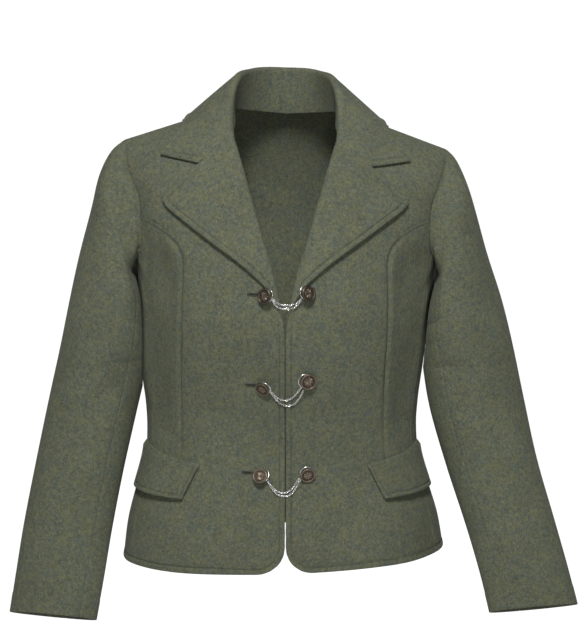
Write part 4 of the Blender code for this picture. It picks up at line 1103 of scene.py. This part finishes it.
collarStations = [
    (68.4, -60.0, -24.5, 63.0, -72.0, -22.4, 155.5, -60.0, -49.0),
    (61.4, -44.0, -10.0, 67.5, -50.0, 4.0, 142.0, -50.0, -36.0),
    (63.2, -26.0, 1.0, 66.0, -28.0, 33.0, 130.0, -34.0, -18.0),
    (63.2, 0.0, 8.5, 57.5, 0.0, 54.5, 126.0, 2.0, -1.5),
    (46.0, 33.0, 7.0, 43.5, 32.0, 60.0, 106.0, 54.0, -4.0),
    (24.5, 51.5, 5.0, 25.0, 51.0, 63.0, 60.0, 86.0, -13.0),
    (0.0, 62.0, 3.0, 0.0, 61.0, 63.0, 0.0, 97.0, -16.0),
]
collarLook = {
    "stations": 96, "leafPoints": 44, "foldPoints": 16, "bulge": 0.5, "ease": 1.5, "gorgeLift": 0.3,
    "hold": 0.175, "columns": 44, "rows": 190,
}


def collarGrid():
    # each station: up the stand, round the fold, c + r (across cos t + up sin t), down the leaf
    look = collarLook
    half = smoothTable(collarStations, look["stations"])
    stations = np.concatenate([half, half[-2::-1] * np.tile([-1.0, 1.0, 1.0], 3)])
    neck, fold, edge = stations[:, 0:3], stations[:, 3:6], stations[:, 6:9]
    down = unit(neck - fold)
    out = unit(edge - fold)
    up = -unit(down + out)
    across = unit(out - up * np.sum(out * up, axis=1, keepdims=True))
    radius = jacket["rollRadius"]
    centre = fold - up * radius
    top = centre - across * radius
    stand = [neck * (1.0 - k) + top * k for k in np.linspace(0.0, 0.9, 9)]
    turned = []
    for t in np.radians(np.linspace(180.0, 20.0, look["foldPoints"])):
        turned.append(centre + radius * (across * math.cos(t) + up * math.sin(t)))
    begin = centre + across * radius
    leaf = []
    for k in np.linspace(0.06, 1.0, look["leafPoints"]):
        lift = np.array([0.0, 0.0, look["bulge"] * math.sin(math.pi * k)])
        leaf.append(begin * (1.0 - k) + edge * k + lift)
    grid = np.stack(stand + turned + leaf, axis=1)
    grid[..., 2] += grid[..., 0] * jacket["shoulderTilt"]
    return grid


def makeCollar():
    look = collarLook
    grid = collarGrid()
    leafStart = 9 + look["foldPoints"]
    shares = np.linspace(0.06, 1.0, look["leafPoints"])
    across = collarEnd[0, 1] + (collarEnd[-1, 1] - collarEnd[0, 1]) * shares
    height = np.interp(across, collarEnd[:, 1], collarEnd[:, 0]) + jacket["seamGap"] * 0.5
    place = bodyPlace(across, height)
    foldPlace = bodyPlace(collarEnd[:1, 1], collarEnd[:1, 0] + look["gorgeLift"])
    count = len(grid)
    layer = np.full(len(across), jacket["layGap"] + jacket["foldedWall"])
    for side, order in ((1.0, np.arange(count)), (-1.0, np.arange(count)[::-1])):
        fold, _ = foldPoints(foldPlace, side, jacket["rollRadius"], layer[:1])
        fold = fold[0]
        first = grid[order[0]]
        arc = np.linalg.norm(np.diff(first[:leafStart], axis=0), axis=1)
        arc = np.concatenate([[0.0], np.cumsum(arc)]) / arc.sum()
        foldArc = np.linalg.norm(np.diff(fold, axis=0), axis=1)
        foldArc = np.concatenate([[0.0], np.cumsum(foldArc)]) / foldArc.sum()
        wrapped = np.stack([np.interp(arc, foldArc, fold[:, k]) for k in range(3)], axis=-1)
        end = np.concatenate([wrapped, bodyLayer(place, side, layer)])
        drawn = end - first
        share = np.arange(count) / (count - 1) / look["hold"]
        hold = np.clip(1.0 - share, 0.0, 1.0) ** 2
        grid[order] += hold[:, None, None] * drawn[None]
    leaf = grid[:, leafStart:]
    ends = ramp(np.minimum(np.arange(count), np.arange(count)[::-1]), 0.0, 6.0)
    clearance = jacket["layGap"] + jacket["foldedWall"] + look["ease"] * ends
    grid[:, leafStart:] = liftClear(leaf, np.broadcast_to(clearance[:, None], leaf.shape[:2]))
    points = laidOut(grid, look["columns"], look["rows"], (1.0, 1.6), (0.5, 0.5))
    normal = gridNormals(points, False)
    toLeafEdge = edgeDistance(points, grid[:, -1])
    free = [grid[k, leafStart + int(0.42 * look["leafPoints"]):] for k in (0, -1)]
    toEnd = np.minimum(edgeDistance(points, free[0]), edgeDistance(points, free[1]))
    toGorge = np.minimum(edgeDistance(points, grid[0]), edgeDistance(points, grid[-1]))
    column = np.arange(points.shape[1])[None, :]
    onLeaf = ramp(column, 26.0, 36.0)
    relief = foldedEdge(toLeafEdge, "stitch") * ramp(toEnd, 3.0, 9.0) * onLeaf
    relief = relief + foldedEdge(toEnd, "endStitch") * ramp(toLeafEdge, -1.0, 1.0) * onLeaf
    relief = relief + seamShape(toGorge, foldLook["gorgeDip"]) * ramp(toEnd, 2.0, 8.0)
    row = np.linspace(-1.0, 1.0, len(points))[:, None]
    soft = 0.8 * np.sin(9.0 * row + 0.6) * np.exp(-(row / 0.75) ** 6) * ramp(column, 40.0, 70.0)
    points = points + (relief + np.maximum(soft, 0.0))[..., None] * normal
    piece = clothShell("collarCloth", points, jacket["foldedWall"], False, loden)
    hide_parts("collar")
    return points, gridNormals(points, False)


# pocket flaps
flapLook = {
    "topHeight": -428.0, "topAcross": 104.0, "bottomHeight": -474.0, "bottomAcross": 126.0,
    "endAngle": 83.0, "endTop": -411.0, "endBottom": -473.0, "flare": 3.2, "stitch": 5.7, "swell": 1.3,
    "columns": 26, "rows": 14,
}


def makeFlap(side):
    look = flapLook
    front = bodyPlace(np.array([look["bottomAcross"], look["topAcross"]]),
                      np.array([look["bottomHeight"], look["topHeight"]]))
    end = np.array([[look["endAngle"], look["endBottom"]], [look["endAngle"], look["endTop"]]])
    rise = np.linspace(0.0, 1.0, 60)[:, None, None]
    share = np.linspace(0.0, 1.0, 90)[None, :, None]
    bottom = front[0] * (1.0 - share) + end[0] * share
    top = front[1] * (1.0 - share) + end[1] * share
    places = bottom * (1.0 - rise) + top * rise
    down = 1.0 - rise[..., 0]
    middle = np.sin(math.pi * share[..., 0] ** 0.7)
    height = 2.0 * jacket["layGap"] + jacket["foldedWall"] + look["flare"] * down ** 2 * middle
    height = height - 2.4 * ramp(rise[..., 0], 0.86, 1.0)
    height = height + 0.5 * down * np.sin(5.0 * share[..., 0] + side) * np.sin(math.pi * share[..., 0])
    grid = bodyLayer(places, side, height)
    flip = side < 0
    points = laidOut(grid, look["columns"], look["rows"], (1.7, 1.7), (1.7, 1.7))
    normal = gridNormals(points, flip)
    toBottom = edgeDistance(points, grid[0])
    toFront = edgeDistance(points, grid[:, 0])
    toEnd = edgeDistance(points, grid[:, -1])
    toTop = edgeDistance(points, grid[-1])
    nearest = np.minimum(np.minimum(toBottom, toFront), toEnd)
    relief = turnedShape(nearest, look["stitch"], look["swell"]) * ramp(toTop, 2.0, 6.0)
    relief = relief + groove(toTop, look["stitch"], 0.5)
    points = points + relief[..., None] * normal
    piece = clothShell("flapCloth_" + words[side], points, jacket["foldedWall"], flip, loden)
    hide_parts("pocket_flap_" + words[side])
    return points, gridNormals(points, flip)


# stitching
stitchLook = {"pitch": 3.1, "length": 2.3, "radius": 0.30, "sink": 0.10, "sides": 5}


def carried(template, centres, along, normal):
    # copies of a small shape, its x on along, its z on normal
    along = unit(along)
    side = unit(np.cross(normal, along))
    up = np.cross(along, side)
    return (centres[:, None] + template[None, :, :1] * along[:, None]
            + template[None, :, 1:2] * side[:, None] + template[None, :, 2:] * up[:, None])


def stitchTemplate(length, radius):
    # a short thread: rings of radius r at places t along x, pointed at both ends
    sides = stitchLook["sides"]
    turn = np.arange(sides) * 2.0 * math.pi / sides
    rings = []
    for t, r in ((-0.5, 0.15), (-0.34, 0.85), (0.0, 1.0), (0.34, 0.85), (0.5, 0.15)):
        ring = np.stack([np.full(sides, t * length), r * radius * np.cos(turn),
                         r * radius * np.sin(turn)], axis=-1)
        rings.append(ring - np.array([0.0, 0.0, radius * (0.9 * abs(2.0 * t)) ** 3]))
    vertices = np.concatenate(rings)
    faces = []
    for k in range(4):
        for j in range(sides):
            n = (j + 1) % sides
            faces.append([k * sides + j, k * sides + n, (k + 1) * sides + n, (k + 1) * sides + j])
    faces = [face[::-1] for face in faces]
    caps = [list(range(sides)), [4 * sides + j for j in range(sides)][::-1]]
    return vertices, faces, caps


def evenPoints(path, normal, pitch):
    length = np.concatenate([[0.0], np.cumsum(np.linalg.norm(np.diff(path, axis=0), axis=1))])
    count = max(int(length[-1] / pitch), 2)
    at = (np.arange(count) + 0.5) * length[-1] / count
    def read(values, where):
        return np.stack([np.interp(where, length, values[:, k]) for k in range(3)], axis=-1)
    tangent = read(path, np.minimum(at + 0.8, length[-1])) - read(path, np.maximum(at - 0.8, 0.0))
    return read(path, at), unit(tangent), unit(read(normal, at))


def makeMesh(name, vertices, faces, material, smooth=True):
    mesh = bpy.data.meshes.new(name)
    mesh.from_pydata((np.asarray(vertices) * 0.001).tolist(), [], faces)
    mesh.materials.append(material)
    mesh.polygons.foreach_set("use_smooth", [smooth] * len(mesh.polygons))
    mesh.update()
    piece = bpy.data.objects.new(name, mesh)
    bpy.context.scene.collection.objects.link(piece)
    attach(piece, "root")
    return piece


def joinedCopies(name, parts, material):
    # one mesh of many carried copies of small shapes: (vertices of each copy, faces)
    vertices = []
    faces = []
    start = 0
    for copies, shape in parts:
        count = copies.shape[1]
        for k in range(len(copies)):
            faces.extend([[corner + start + k * count for corner in face] for face in shape])
        vertices.append(copies.reshape(-1, 3))
        start += copies.shape[0] * count
    return makeMesh(name, np.concatenate(vertices), faces, material)


def makeStitches(name, runs):
    look = stitchLook
    template, faces, caps = stitchTemplate(look["length"], look["radius"])
    parts = []
    for path, normal in runs:
        centres, tangent, up = evenPoints(path, normal, look["pitch"])
        parts.append((carried(template, centres - up * look["sink"], tangent, up), faces + caps))
    return joinedCopies(name, parts, threadMaterial)


def bodyRun(places, side, height):
    # a run on the body's surface at a height over it
    dense = spread(places, 300)
    return bodyLayer(dense, side, np.full(300, height)), bodyNormal(dense[:, 0], dense[:, 1], side)


def gridRun(points, normal, row=None, column=None, first=0, last=None, height=0.1):
    # a run along one row or column of a grid; last counts back from the far end
    pick = (slice(first, last), column) if row is None else (row, slice(first, last))
    return points[pick] + height * normal[pick], normal[pick]


def foldedRuns(lapelGrids, collarGrid, flapGrids):
    # the steps kept near every edge put column -8 and row -9 on the stitching lines
    runs = []
    for points, normal in lapelGrids:
        runs.append(gridRun(points, normal, column=-8, first=9, last=-8))
        start = int(np.argmax(np.linalg.norm(points[-9] - points[-9, 20], axis=1) > 60.0))
        runs.append(gridRun(points, normal, row=-9, first=start, last=-8))
    points, normal = collarGrid
    runs.append(gridRun(points, normal, column=-8, first=8, last=-8))
    for row in (8, -9):
        start = int(np.argmax(np.linalg.norm(points[row] - points[row, -1], axis=1) < 47.0))
        runs.append(gridRun(points, normal, row=row, first=start, last=-8))
    for points, normal in flapGrids:
        runs.append(gridRun(points, normal, column=6, first=6, last=-4))
        runs.append(gridRun(points, normal, column=-7, first=6, last=-4))
        runs.append(gridRun(points, normal, row=6, first=6, last=-6))
        runs.append(gridRun(points, normal, row=-7, first=4, last=-4))
    return runs


def panelRuns(side):
    look = panelLook
    runs = []
    edge = frontEdgePlaces()
    level = edge[:, 1]
    fold = edge[level < jacket["breakHeight"] + 6.0]
    runs.append(bodyRun(inwardLine(spread(fold, 220), side, look["frontStitch"], -1.0), side, 0.12))
    front = hemLine(bodyPlace(jacket["hemStart"], jacket["hemLevel"])[0], princess[0, 0] - 0.5)
    front[:, 1] += hemStitchAt(onBody(front, side))
    runs.append(bodyRun(front, side, 0.12))
    for first, last in ((princess[0, 0] + 0.5, jacket["sideAngle"] - 0.5),
                        (jacket["sideAngle"] + 0.5, 179.6)):
        runs.append(bodyRun(hemLine(first, last) + np.array([0.0, look["hemStitch"]]), side, 0.12))
    for stitch in look["princessStitch"]:
        line = inwardLine(spread(princess, 300), side, stitch, 1.0)
        start = int(300 * (1.0 - look["stitchedLength"] / 470.0))
        runs.append(bodyRun(line[start:-4], side, -0.1))
    return runs


buttonholeLook = {"length": 14.5, "slit": 0.9, "bite": 1.9, "pitch": 0.62, "tilt": -3.0}
buttonholes = [(-38.7, -208.6), (-41.3, -323.0), (-46.1, -436.0)]


def frontPlace(x, z, height):
    place = bodyPlace(abs(x), z)
    side = math.copysign(1.0, x)
    return bodyLayer(place, side, np.float64(height)), bodyNormal(place[0], place[1], side)


def makeButtonhole(x, z, word):
    # a slit in a lens of dark, a near-black sheet of painted shade in the opening, ringed by close
    # stitches that point at it
    look = buttonholeLook
    centre, normal = frontPlace(x, z, 0.0)
    tilt = math.radians(look["tilt"])
    along = unit(np.cross(np.array([0.0, 0.0, 1.0]), normal) * -1.0)
    along = unit(along * math.cos(tilt) + np.cross(normal, along) * math.sin(tilt))
    side = np.cross(normal, along)
    half = look["length"] / 2.0
    reach = look["slit"] / 2.0 + look["bite"] / 2.0
    straight = 2.0 * half - 2.0 * reach
    total = 2.0 * straight + 2.0 * math.pi * reach
    at = (np.arange(int(total / look["pitch"])) + 0.5) / int(total / look["pitch"]) * total
    x1 = np.where(at < straight, at - straight / 2.0, 0.0)
    bend1 = (at >= straight) & (at < straight + math.pi * reach)
    bend2 = at >= 2.0 * straight + math.pi * reach
    back = (at >= straight + math.pi * reach) & ~bend2
    angle1 = (at - straight) / reach
    angle2 = (at - 2.0 * straight - math.pi * reach) / reach
    u = np.where(at < straight, x1, 0.0)
    u = np.where(bend1, straight / 2.0 + reach * np.sin(angle1), u)
    u = np.where(back, straight / 2.0 - (at - straight - math.pi * reach), u)
    u = np.where(bend2, -straight / 2.0 - reach * np.sin(angle2), u)
    v = np.where(at < straight, -reach, 0.0)
    v = np.where(bend1, -reach * np.cos(angle1), v)
    v = np.where(back, reach, v)
    v = np.where(bend2, reach * np.cos(angle2), v)
    wayU = u - np.clip(u, -straight / 2.0, straight / 2.0)
    way = unit(wayU[:, None] * along + v[:, None] * side)
    spots = centre + u[:, None] * along + v[:, None] * side + normal * 0.30
    template, faces, caps = stitchTemplate(look["bite"], 0.42)
    up = np.broadcast_to(normal, spots.shape)
    ring = joinedCopies("buttonholeThread_" + word, [(carried(template, spots, way, up), faces + caps)],
                        threadMaterial)
    # the lens: a closed sheet of painted shade set into the slit
    turn = np.linspace(0.0, 2.0 * math.pi, 33)[:-1]
    outline = centre + (half - look["bite"]) * np.cos(turn)[:, None] * along \
        + look["slit"] * 0.62 * np.sin(turn)[:, None] * side
    top = outline + normal * 0.42
    bottom = outline - normal * 0.6
    middleTop = centre + normal * 0.30
    middleBottom = centre - normal * 0.6
    vertices = np.concatenate([top, bottom, middleTop[None], middleBottom[None]])
    count = len(outline)
    faces = []
    for k in range(count):
        n = (k + 1) % count
        faces.append([k, n, 2 * count])
        faces.append([n, k, k + count, n + count])
        faces.append([n + count, k + count, 2 * count + 1])
    makeMesh("buttonholeSlitShadow_" + word, vertices, outward(vertices, faces), slitShadowMaterial,
             smooth=False)
    return ring


# coin buttons
coinLook = {
    "radius": 9.5, "wall": 2.2, "rimWidth": 1.5, "rimRise": 0.55, "beads": 44, "petals": 8,
    "shank": 2.4, "radial": 44, "round": 132,
}
# for each coin: word, side, x, z, lift, radius, turn, lean sideways, lean upwards, ring direction
coins = [
    ("upper", "right", -25.0, -210.0, 6.6, 9.5, 0.0, -0.56, 0.06, 24.0),
    ("upper", "left", 28.0, -207.0, 6.6, 9.6, 31.0, 0.55, 0.12, 152.0),
    ("middle", "right", -27.5, -326.0, 4.8, 9.3, 17.0, -0.36, -0.36, 38.0),
    ("middle", "left", 28.8, -316.0, 4.8, 10.3, 54.0, 0.20, 0.02, 166.0),
    ("lower", "right", -30.5, -439.5, 4.8, 9.5, 34.0, -0.22, 0.42, 28.0),
    ("lower", "left", 28.2, -438.5, 4.8, 9.5, 77.0, 0.12, -0.46, 112.0),
]
# word, strand, start x, start z, end x, end z, sag, flatness, skew
strands = [
    ("upper", "inner", -16.5, -211.4, 19.6, -212.2, 9.4, 2.7, 0.0),
    ("upper", "outer", -16.0, -213.0, 19.0, -214.0, 12.4, 3.0, 0.10),
    ("middle", "inner", -18.8, -326.6, 20.6, -322.4, 17.4, 2.0, 0.0),
    ("middle", "outer", -18.2, -328.6, 23.0, -326.6, 21.6, 2.2, -0.16),
    ("lower", "inner", -22.4, -442.6, 17.4, -441.8, 18.2, 2.1, 0.0),
    ("lower", "outer", -21.6, -444.6, 18.6, -443.4, 20.6, 2.3, -0.04),
]


def petalRing(r, t, shift, middle, half, wide, high):
    # pointed ovals in a circle: half widths w = wide sqrt(1 - ((a - middle) / half)^2) along a,
    # heights high sqrt(1 - (b / w)^2) across b
    pitch = 2.0 * math.pi / coinLook["petals"]
    turn = np.mod(t + shift * pitch, pitch) - pitch / 2.0
    across = np.abs(r * np.sin(turn))
    width = wide * np.sqrt(np.maximum(1.0 - ((r * np.cos(turn) - middle) / half) ** 2, 0.0))
    dome = np.sqrt(np.maximum(1.0 - (across / np.maximum(width, 0.05)) ** 2, 0.0))
    return high * dome * (width > 0.05), across, width


def coinRelief(r, t):
    # struck relief in shares of the radius: beaded rim, ring, star flower with veined petals
    look = coinLook
    radius = look["radius"]
    rim = ramp(r, radius - look["rimWidth"] - 0.3, radius - look["rimWidth"]) * look["rimRise"]
    rim = rim - 0.5 * ramp(r, radius - 0.55, radius) ** 2
    beadPlace = np.hypot(r - (radius - 2.35), (np.mod(t * look["beads"] / (2.0 * math.pi), 1.0) - 0.5)
                         * 2.0 * math.pi * (radius - 2.35) / look["beads"])
    beads = 0.34 * np.sqrt(np.maximum(1.0 - (beadPlace / 0.50) ** 2, 0.0))
    ring = 0.18 * np.exp(-((r - 6.15) / 0.22) ** 2)
    petal, across, width = petalRing(r, t, 0.5, 3.3, 2.25, 1.05, 0.74)
    vein = 0.16 * np.exp(-(across / 0.16) ** 2) * (width > 0.2)
    leaf = petalRing(r, t, 0.0, 3.9, 1.75, 0.62, 0.36)[0]
    boss = 0.55 * np.sqrt(np.maximum(1.0 - (r / 1.5) ** 2, 0.0))
    seeds = 0.16 * np.maximum(np.cos(6.0 * t) * np.cos(4.2 * r), 0.0) * (r < 1.5)
    return rim + beads + ring + np.maximum(np.maximum(petal - vein, leaf), boss + seeds)


def makeCoin(word, side, x, z, lift, size, turned, leanAside, leanUp):
    # a struck disc on its shank: polar grid of relief, rounded side, plain back, a pin and a foot
    look = coinLook
    foot, out = frontPlace(x, z, 0.15)
    right = unit(np.cross(np.array([0.0, 0.0, 1.0]), out))
    up = np.cross(out, right)
    face = unit(out + right * leanAside + up * leanUp)
    faceRight = unit(right - face * np.dot(right, face))
    faceUp = np.cross(face, faceRight)
    t = np.arange(look["round"]) * 2.0 * math.pi / look["round"]
    radial = np.concatenate([np.linspace(0.12, 0.985, look["radial"]), [0.996, 1.0]]) * look["radius"]
    grown = size / look["radius"]
    rings = [(radius * grown, coinRelief(radius, t + math.radians(turned)) + look["wall"] / 2.0 - 0.35)
             for radius in radial]
    flat = np.zeros(len(t))
    for share, level in ((1.0, 0.25), (1.0, -0.25), (0.985, -0.46), (0.93, -0.5), (0.5, -0.47)):
        rings.append((share * size, flat + level * look["wall"]))
    reach = lift + look["wall"] / 2.0 - 0.4
    for share, level in ((0.62, look["wall"] * 0.5), (0.5, look["wall"] * 0.8), (0.5, reach)):
        rings.append((look["shank"] * share, flat - level))
    centre = foot + out * (lift + look["wall"] / 2.0)
    turns = np.cos(t)[:, None] * faceRight + np.sin(t)[:, None] * faceUp
    place = np.array([centre + radius * turns + height[:, None] * face for radius, height in rings])
    rows, n = len(rings), len(t)
    vertices = np.concatenate([place.reshape(-1, 3), [place[0].mean(axis=0)], [place[-1].mean(axis=0)]])
    index = np.arange(rows * n).reshape(rows, n)
    faces = quads(np.concatenate([index, index[:, :1]], axis=1)).tolist()
    for k in range(n):
        faces.append([rows * n, (k + 1) % n, k])
        faces.append([rows * n + 1, (rows - 1) * n + k, (rows - 1) * n + (k + 1) % n])
    piece = makeMesh("coin_" + side + "_" + word, vertices, outward(vertices, faces), coinMaterial)
    struck = np.zeros(len(vertices))
    struck[:len(radial) * n] = np.array([coinRelief(r, t + math.radians(turned)) for r in radial]).ravel()
    struck[rows * n] = struck[:n].mean()
    piece.data.attributes.new("relief", "FLOAT", "POINT").data.foreach_set("value", struck.tolist())
    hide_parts("button_" + side + "_" + word)
    return centre, face, faceRight, faceUp


def outward(vertices, faces):
    # faces turned so that the closed shape's volume is positive
    volume = 0.0
    for face in faces:
        corner = vertices[face[0]]
        for k in range(1, len(face) - 1):
            volume += np.dot(corner, np.cross(vertices[face[k]], vertices[face[k + 1]]))
    return faces if volume > 0.0 else [face[::-1] for face in faces]


# chains
chainLook = {
    "length": 4.3, "width": 3.0, "wire": 0.52, "sides": 7, "round": 18, "low": 1.45,
    "ringWire": 0.62, "ringShare": 0.86, "ringShift": 0.36,
}


def ringShape(path, wire, sides, up):
    # a round wire carried round a closed path
    tangent = unit(np.roll(path, -1, axis=0) - np.roll(path, 1, axis=0))
    side = unit(np.cross(tangent, up))
    s = np.arange(sides) * 2.0 * math.pi / sides
    vertices = path[:, None] + wire * (np.cos(s)[None, :, None] * side[:, None]
                                       + np.sin(s)[None, :, None] * np.asarray(up))
    index = np.arange(len(path) * sides).reshape(len(path), sides)
    index = np.concatenate([index, index[:1]], axis=0)
    faces = quads(np.concatenate([index, index[:, :1]], axis=1)).tolist()
    vertices = vertices.reshape(-1, 3)
    return vertices, outward(vertices, faces)


def makeChain(word, strand, start, end, sag, flatness, skew, lift, rings):
    # z = straight line - sag (1 - |2s - 1|^flatness), nearer the cloth in the middle; every
    # link is turned a quarter from the last
    look = chainLook
    share = np.linspace(0.0, 1.0, 120)
    moved = share + skew * share * (1.0 - share)
    across = np.abs(2.0 * moved - 1.0)
    x = start[0] + (end[0] - start[0]) * share
    z = start[1] + (end[1] - start[1]) * share - sag * (1.0 - across ** flatness)
    height = look["low"] + (lift - 0.6 - look["low"]) * across ** 2
    found = [frontPlace(a, b, c) for a, b, c in zip(x, z, height)]
    places = np.array([place for place, _ in found])
    normals = np.array([normal for _, normal in found])
    centres, tangent, up = evenPoints(places, normals, look["length"] - 2.2 * look["wire"])
    t = np.arange(look["round"]) * 2.0 * math.pi / look["round"]
    radius = look["width"] / 2.0 - look["wire"]
    straight = (look["length"] - look["width"]) / 2.0
    along = np.cos(t) * radius + np.sign(np.cos(t)) * straight * np.minimum(np.abs(np.cos(t)) * 3.0, 1.0)
    oval = np.stack([along, np.sin(t) * radius, np.zeros_like(t)], axis=-1)
    template, faces = ringShape(oval, look["wire"], look["sides"], np.array([0.0, 0.0, 1.0]))
    turn = np.where(np.arange(len(centres)) % 2 == 0, math.radians(38.0), math.radians(-52.0))[:, None]
    rolled = up * np.cos(turn) + np.cross(up, tangent) * np.sin(turn)
    parts = [(carried(template, centres, tangent, rolled), faces)]
    for path, normal in rings:
        ring, ringFaces = ringShape(path, look["ringWire"], 8, normal)
        parts.append((ring[None], ringFaces))
    piece = joinedCopies("chainLinks_" + word + "_" + strand, parts, chainMaterial)
    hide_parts("chain_" + word + "_" + strand)


def coinRing(size, direction, centre, face, right, up):
    # a wire ring behind the coin, set towards the chain, so that it shows as a crescent
    look = chainLook
    t = np.arange(40) * 2.0 * math.pi / 40
    way = math.radians(direction)
    middle = centre + look["ringShift"] * size * (right * math.cos(way) + up * math.sin(way))
    middle = middle - face * (coinLook["wall"] / 2.0 + look["ringWire"] * 0.4)
    turned = np.cos(t)[:, None] * right + np.sin(t)[:, None] * up
    return middle + look["ringShare"] * size * turned, face


def makeClasps():
    for word in ("upper", "middle", "lower"):
        rings = []
        for coin in coins:
            if coin[0] == word:
                made = makeCoin(*coin[:9])
                rings.append(coinRing(coin[5], coin[9], *made))
                lift = coin[4]
        for row in strands:
            if row[0] == word:
                makeChain(word, row[1], row[2:4], row[4:6], row[6], row[7], row[8], lift,
                          rings if row[1] == "inner" else [])


# the jacket
for sideSign in (-1, 1):
    makeFront(sideSign)
    makeSideFront(sideSign)
    makeBack(sideSign)
    makeSleeve(sideSign)
print("panels and sleeves made")
lapelGrids = [makeLapel(sideSign) for sideSign in (-1, 1)]
flapGrids = [makeFlap(sideSign) for sideSign in (-1, 1)]
collarPoints = makeCollar()
print("lapels, collar and flaps made")
for sideSign in (-1, 1):
    makeStitches("stitching_" + words[sideSign], panelRuns(sideSign))
makeStitches("stitching_folded", foldedRuns(lapelGrids, collarPoints, flapGrids))
for (holeX, holeZ), holeWord in zip(buttonholes, ("upper", "middle", "lower")):
    makeButtonhole(holeX, holeZ, holeWord)
makeClasps()
print("stitching, buttonholes, coins and chains made")


# camera, light and floor
shot = {
    "elevation": 8.0, "distance": 2.6, "target": (0.0058, 0.0, -0.255), "fov": 17.85,
    "floor": -1.15, "world": 0.045,
}


def makeCamera():
    camera = bpy.data.cameras.new("camera")
    camera.sensor_fit = "VERTICAL"
    camera.angle_y = math.radians(shot["fov"])
    camera.clip_end = 50.0
    holder = bpy.data.objects.new("camera", camera)
    bpy.context.scene.collection.objects.link(holder)
    rise = math.radians(shot["elevation"])
    holder.location = (shot["target"][0], -shot["distance"] * math.cos(rise),
                       shot["target"][2] + shot["distance"] * math.sin(rise))
    holder.rotation_euler = (math.pi / 2.0 - rise, 0.0, 0.0)
    bpy.context.scene.camera = holder


def makeArea(name, place, target, size, power, tint=(1.0, 1.0, 1.0)):
    light = bpy.data.lights.new(name, "AREA")
    light.shape = "RECTANGLE"
    light.size = size[0]
    light.size_y = size[1]
    light.energy = power
    light.color = tint
    holder = bpy.data.objects.new(name, light)
    bpy.context.scene.collection.objects.link(holder)
    place = np.array(place)
    way = unit(np.array(target) - place)
    holder.location = place
    holder.rotation_euler = (math.acos(-way[2]), 0.0, math.atan2(-way[0], way[1]))
    return holder


def seenDirectly(tree):
    return Socket(tree, tree.nodes.new("ShaderNodeLightPath").outputs["Is Camera Ray"])


def makeStage():
    size = 14.0
    mesh = bpy.data.meshes.new("floor")
    level = shot["floor"]
    corners = ((-size, -size), (size, -size), (size, size), (-size, size))
    mesh.from_pydata([(x, y, level) for x, y in corners], [], [(0, 1, 2, 3)])
    finish = Finish("floorPaint")
    grain = finish.noise(finish.place(), 6.0, 2.0)
    paint = finish.blend(grain, colour(0.80, 0.80, 0.80), colour(0.84, 0.84, 0.84))
    finish.set(Base_Color=paint, Roughness=0.9)
    glow = finish.node("ShaderNodeEmission", Color=colour(1.0, 1.0, 1.0), Strength=1.15)
    mixed = finish.node("ShaderNodeMixShader", n0=seenDirectly(finish.tree) * 0.9)
    finish.tree.links.new(finish.shader.outputs[0], mixed.inputs[1])
    finish.tree.links.new(glow.outputs[0], mixed.inputs[2])
    finish.tree.links.new(mixed.outputs[0], finish.tree.nodes["Material Output"].inputs["Surface"])
    mesh.materials.append(finish.material)
    floor = bpy.data.objects.new("floor", mesh)
    bpy.context.scene.collection.objects.link(floor)
    world = bpy.data.worlds.new("studio")
    world.use_nodes = True
    background = world.node_tree.nodes["Background"]
    background.inputs["Color"].default_value = colour(1.0, 1.0, 1.0)
    strength = seenDirectly(world.node_tree) * (1.05 - shot["world"]) + shot["world"]
    world.node_tree.links.new(strength.output, background.inputs["Strength"])
    bpy.context.scene.world = world
    bpy.context.scene.view_settings.view_transform = "Standard"


makeCamera()
makeStage()
makeArea("keyLight", (-0.15, -1.95, 1.65), (0.0, 0.0, -0.26), (0.5, 0.5), 67.0)
makeArea("frontLight", (0.15, -2.8, 0.1), (0.0, 0.0, -0.26), (0.7, 0.7), 15.0)
makeArea("topLight", (0.1, -0.5, 1.9), (0.0, 0.0, -0.2), (1.2, 0.9), 2.5)
makeArea("leftEdgeLight", (-2.4, 0.9, 0.5), (0.0, 0.0, -0.3), (0.9, 1.6), 4.0)
makeArea("rightEdgeLight", (2.4, 0.9, 0.5), (0.0, 0.0, -0.3), (0.9, 1.6), 7.0)
makeArea("backLight", (0.2, 2.7, 0.6), (0.0, 0.0, -0.3), (1.4, 1.4), 30.0)
print("camera, lights and floor made")
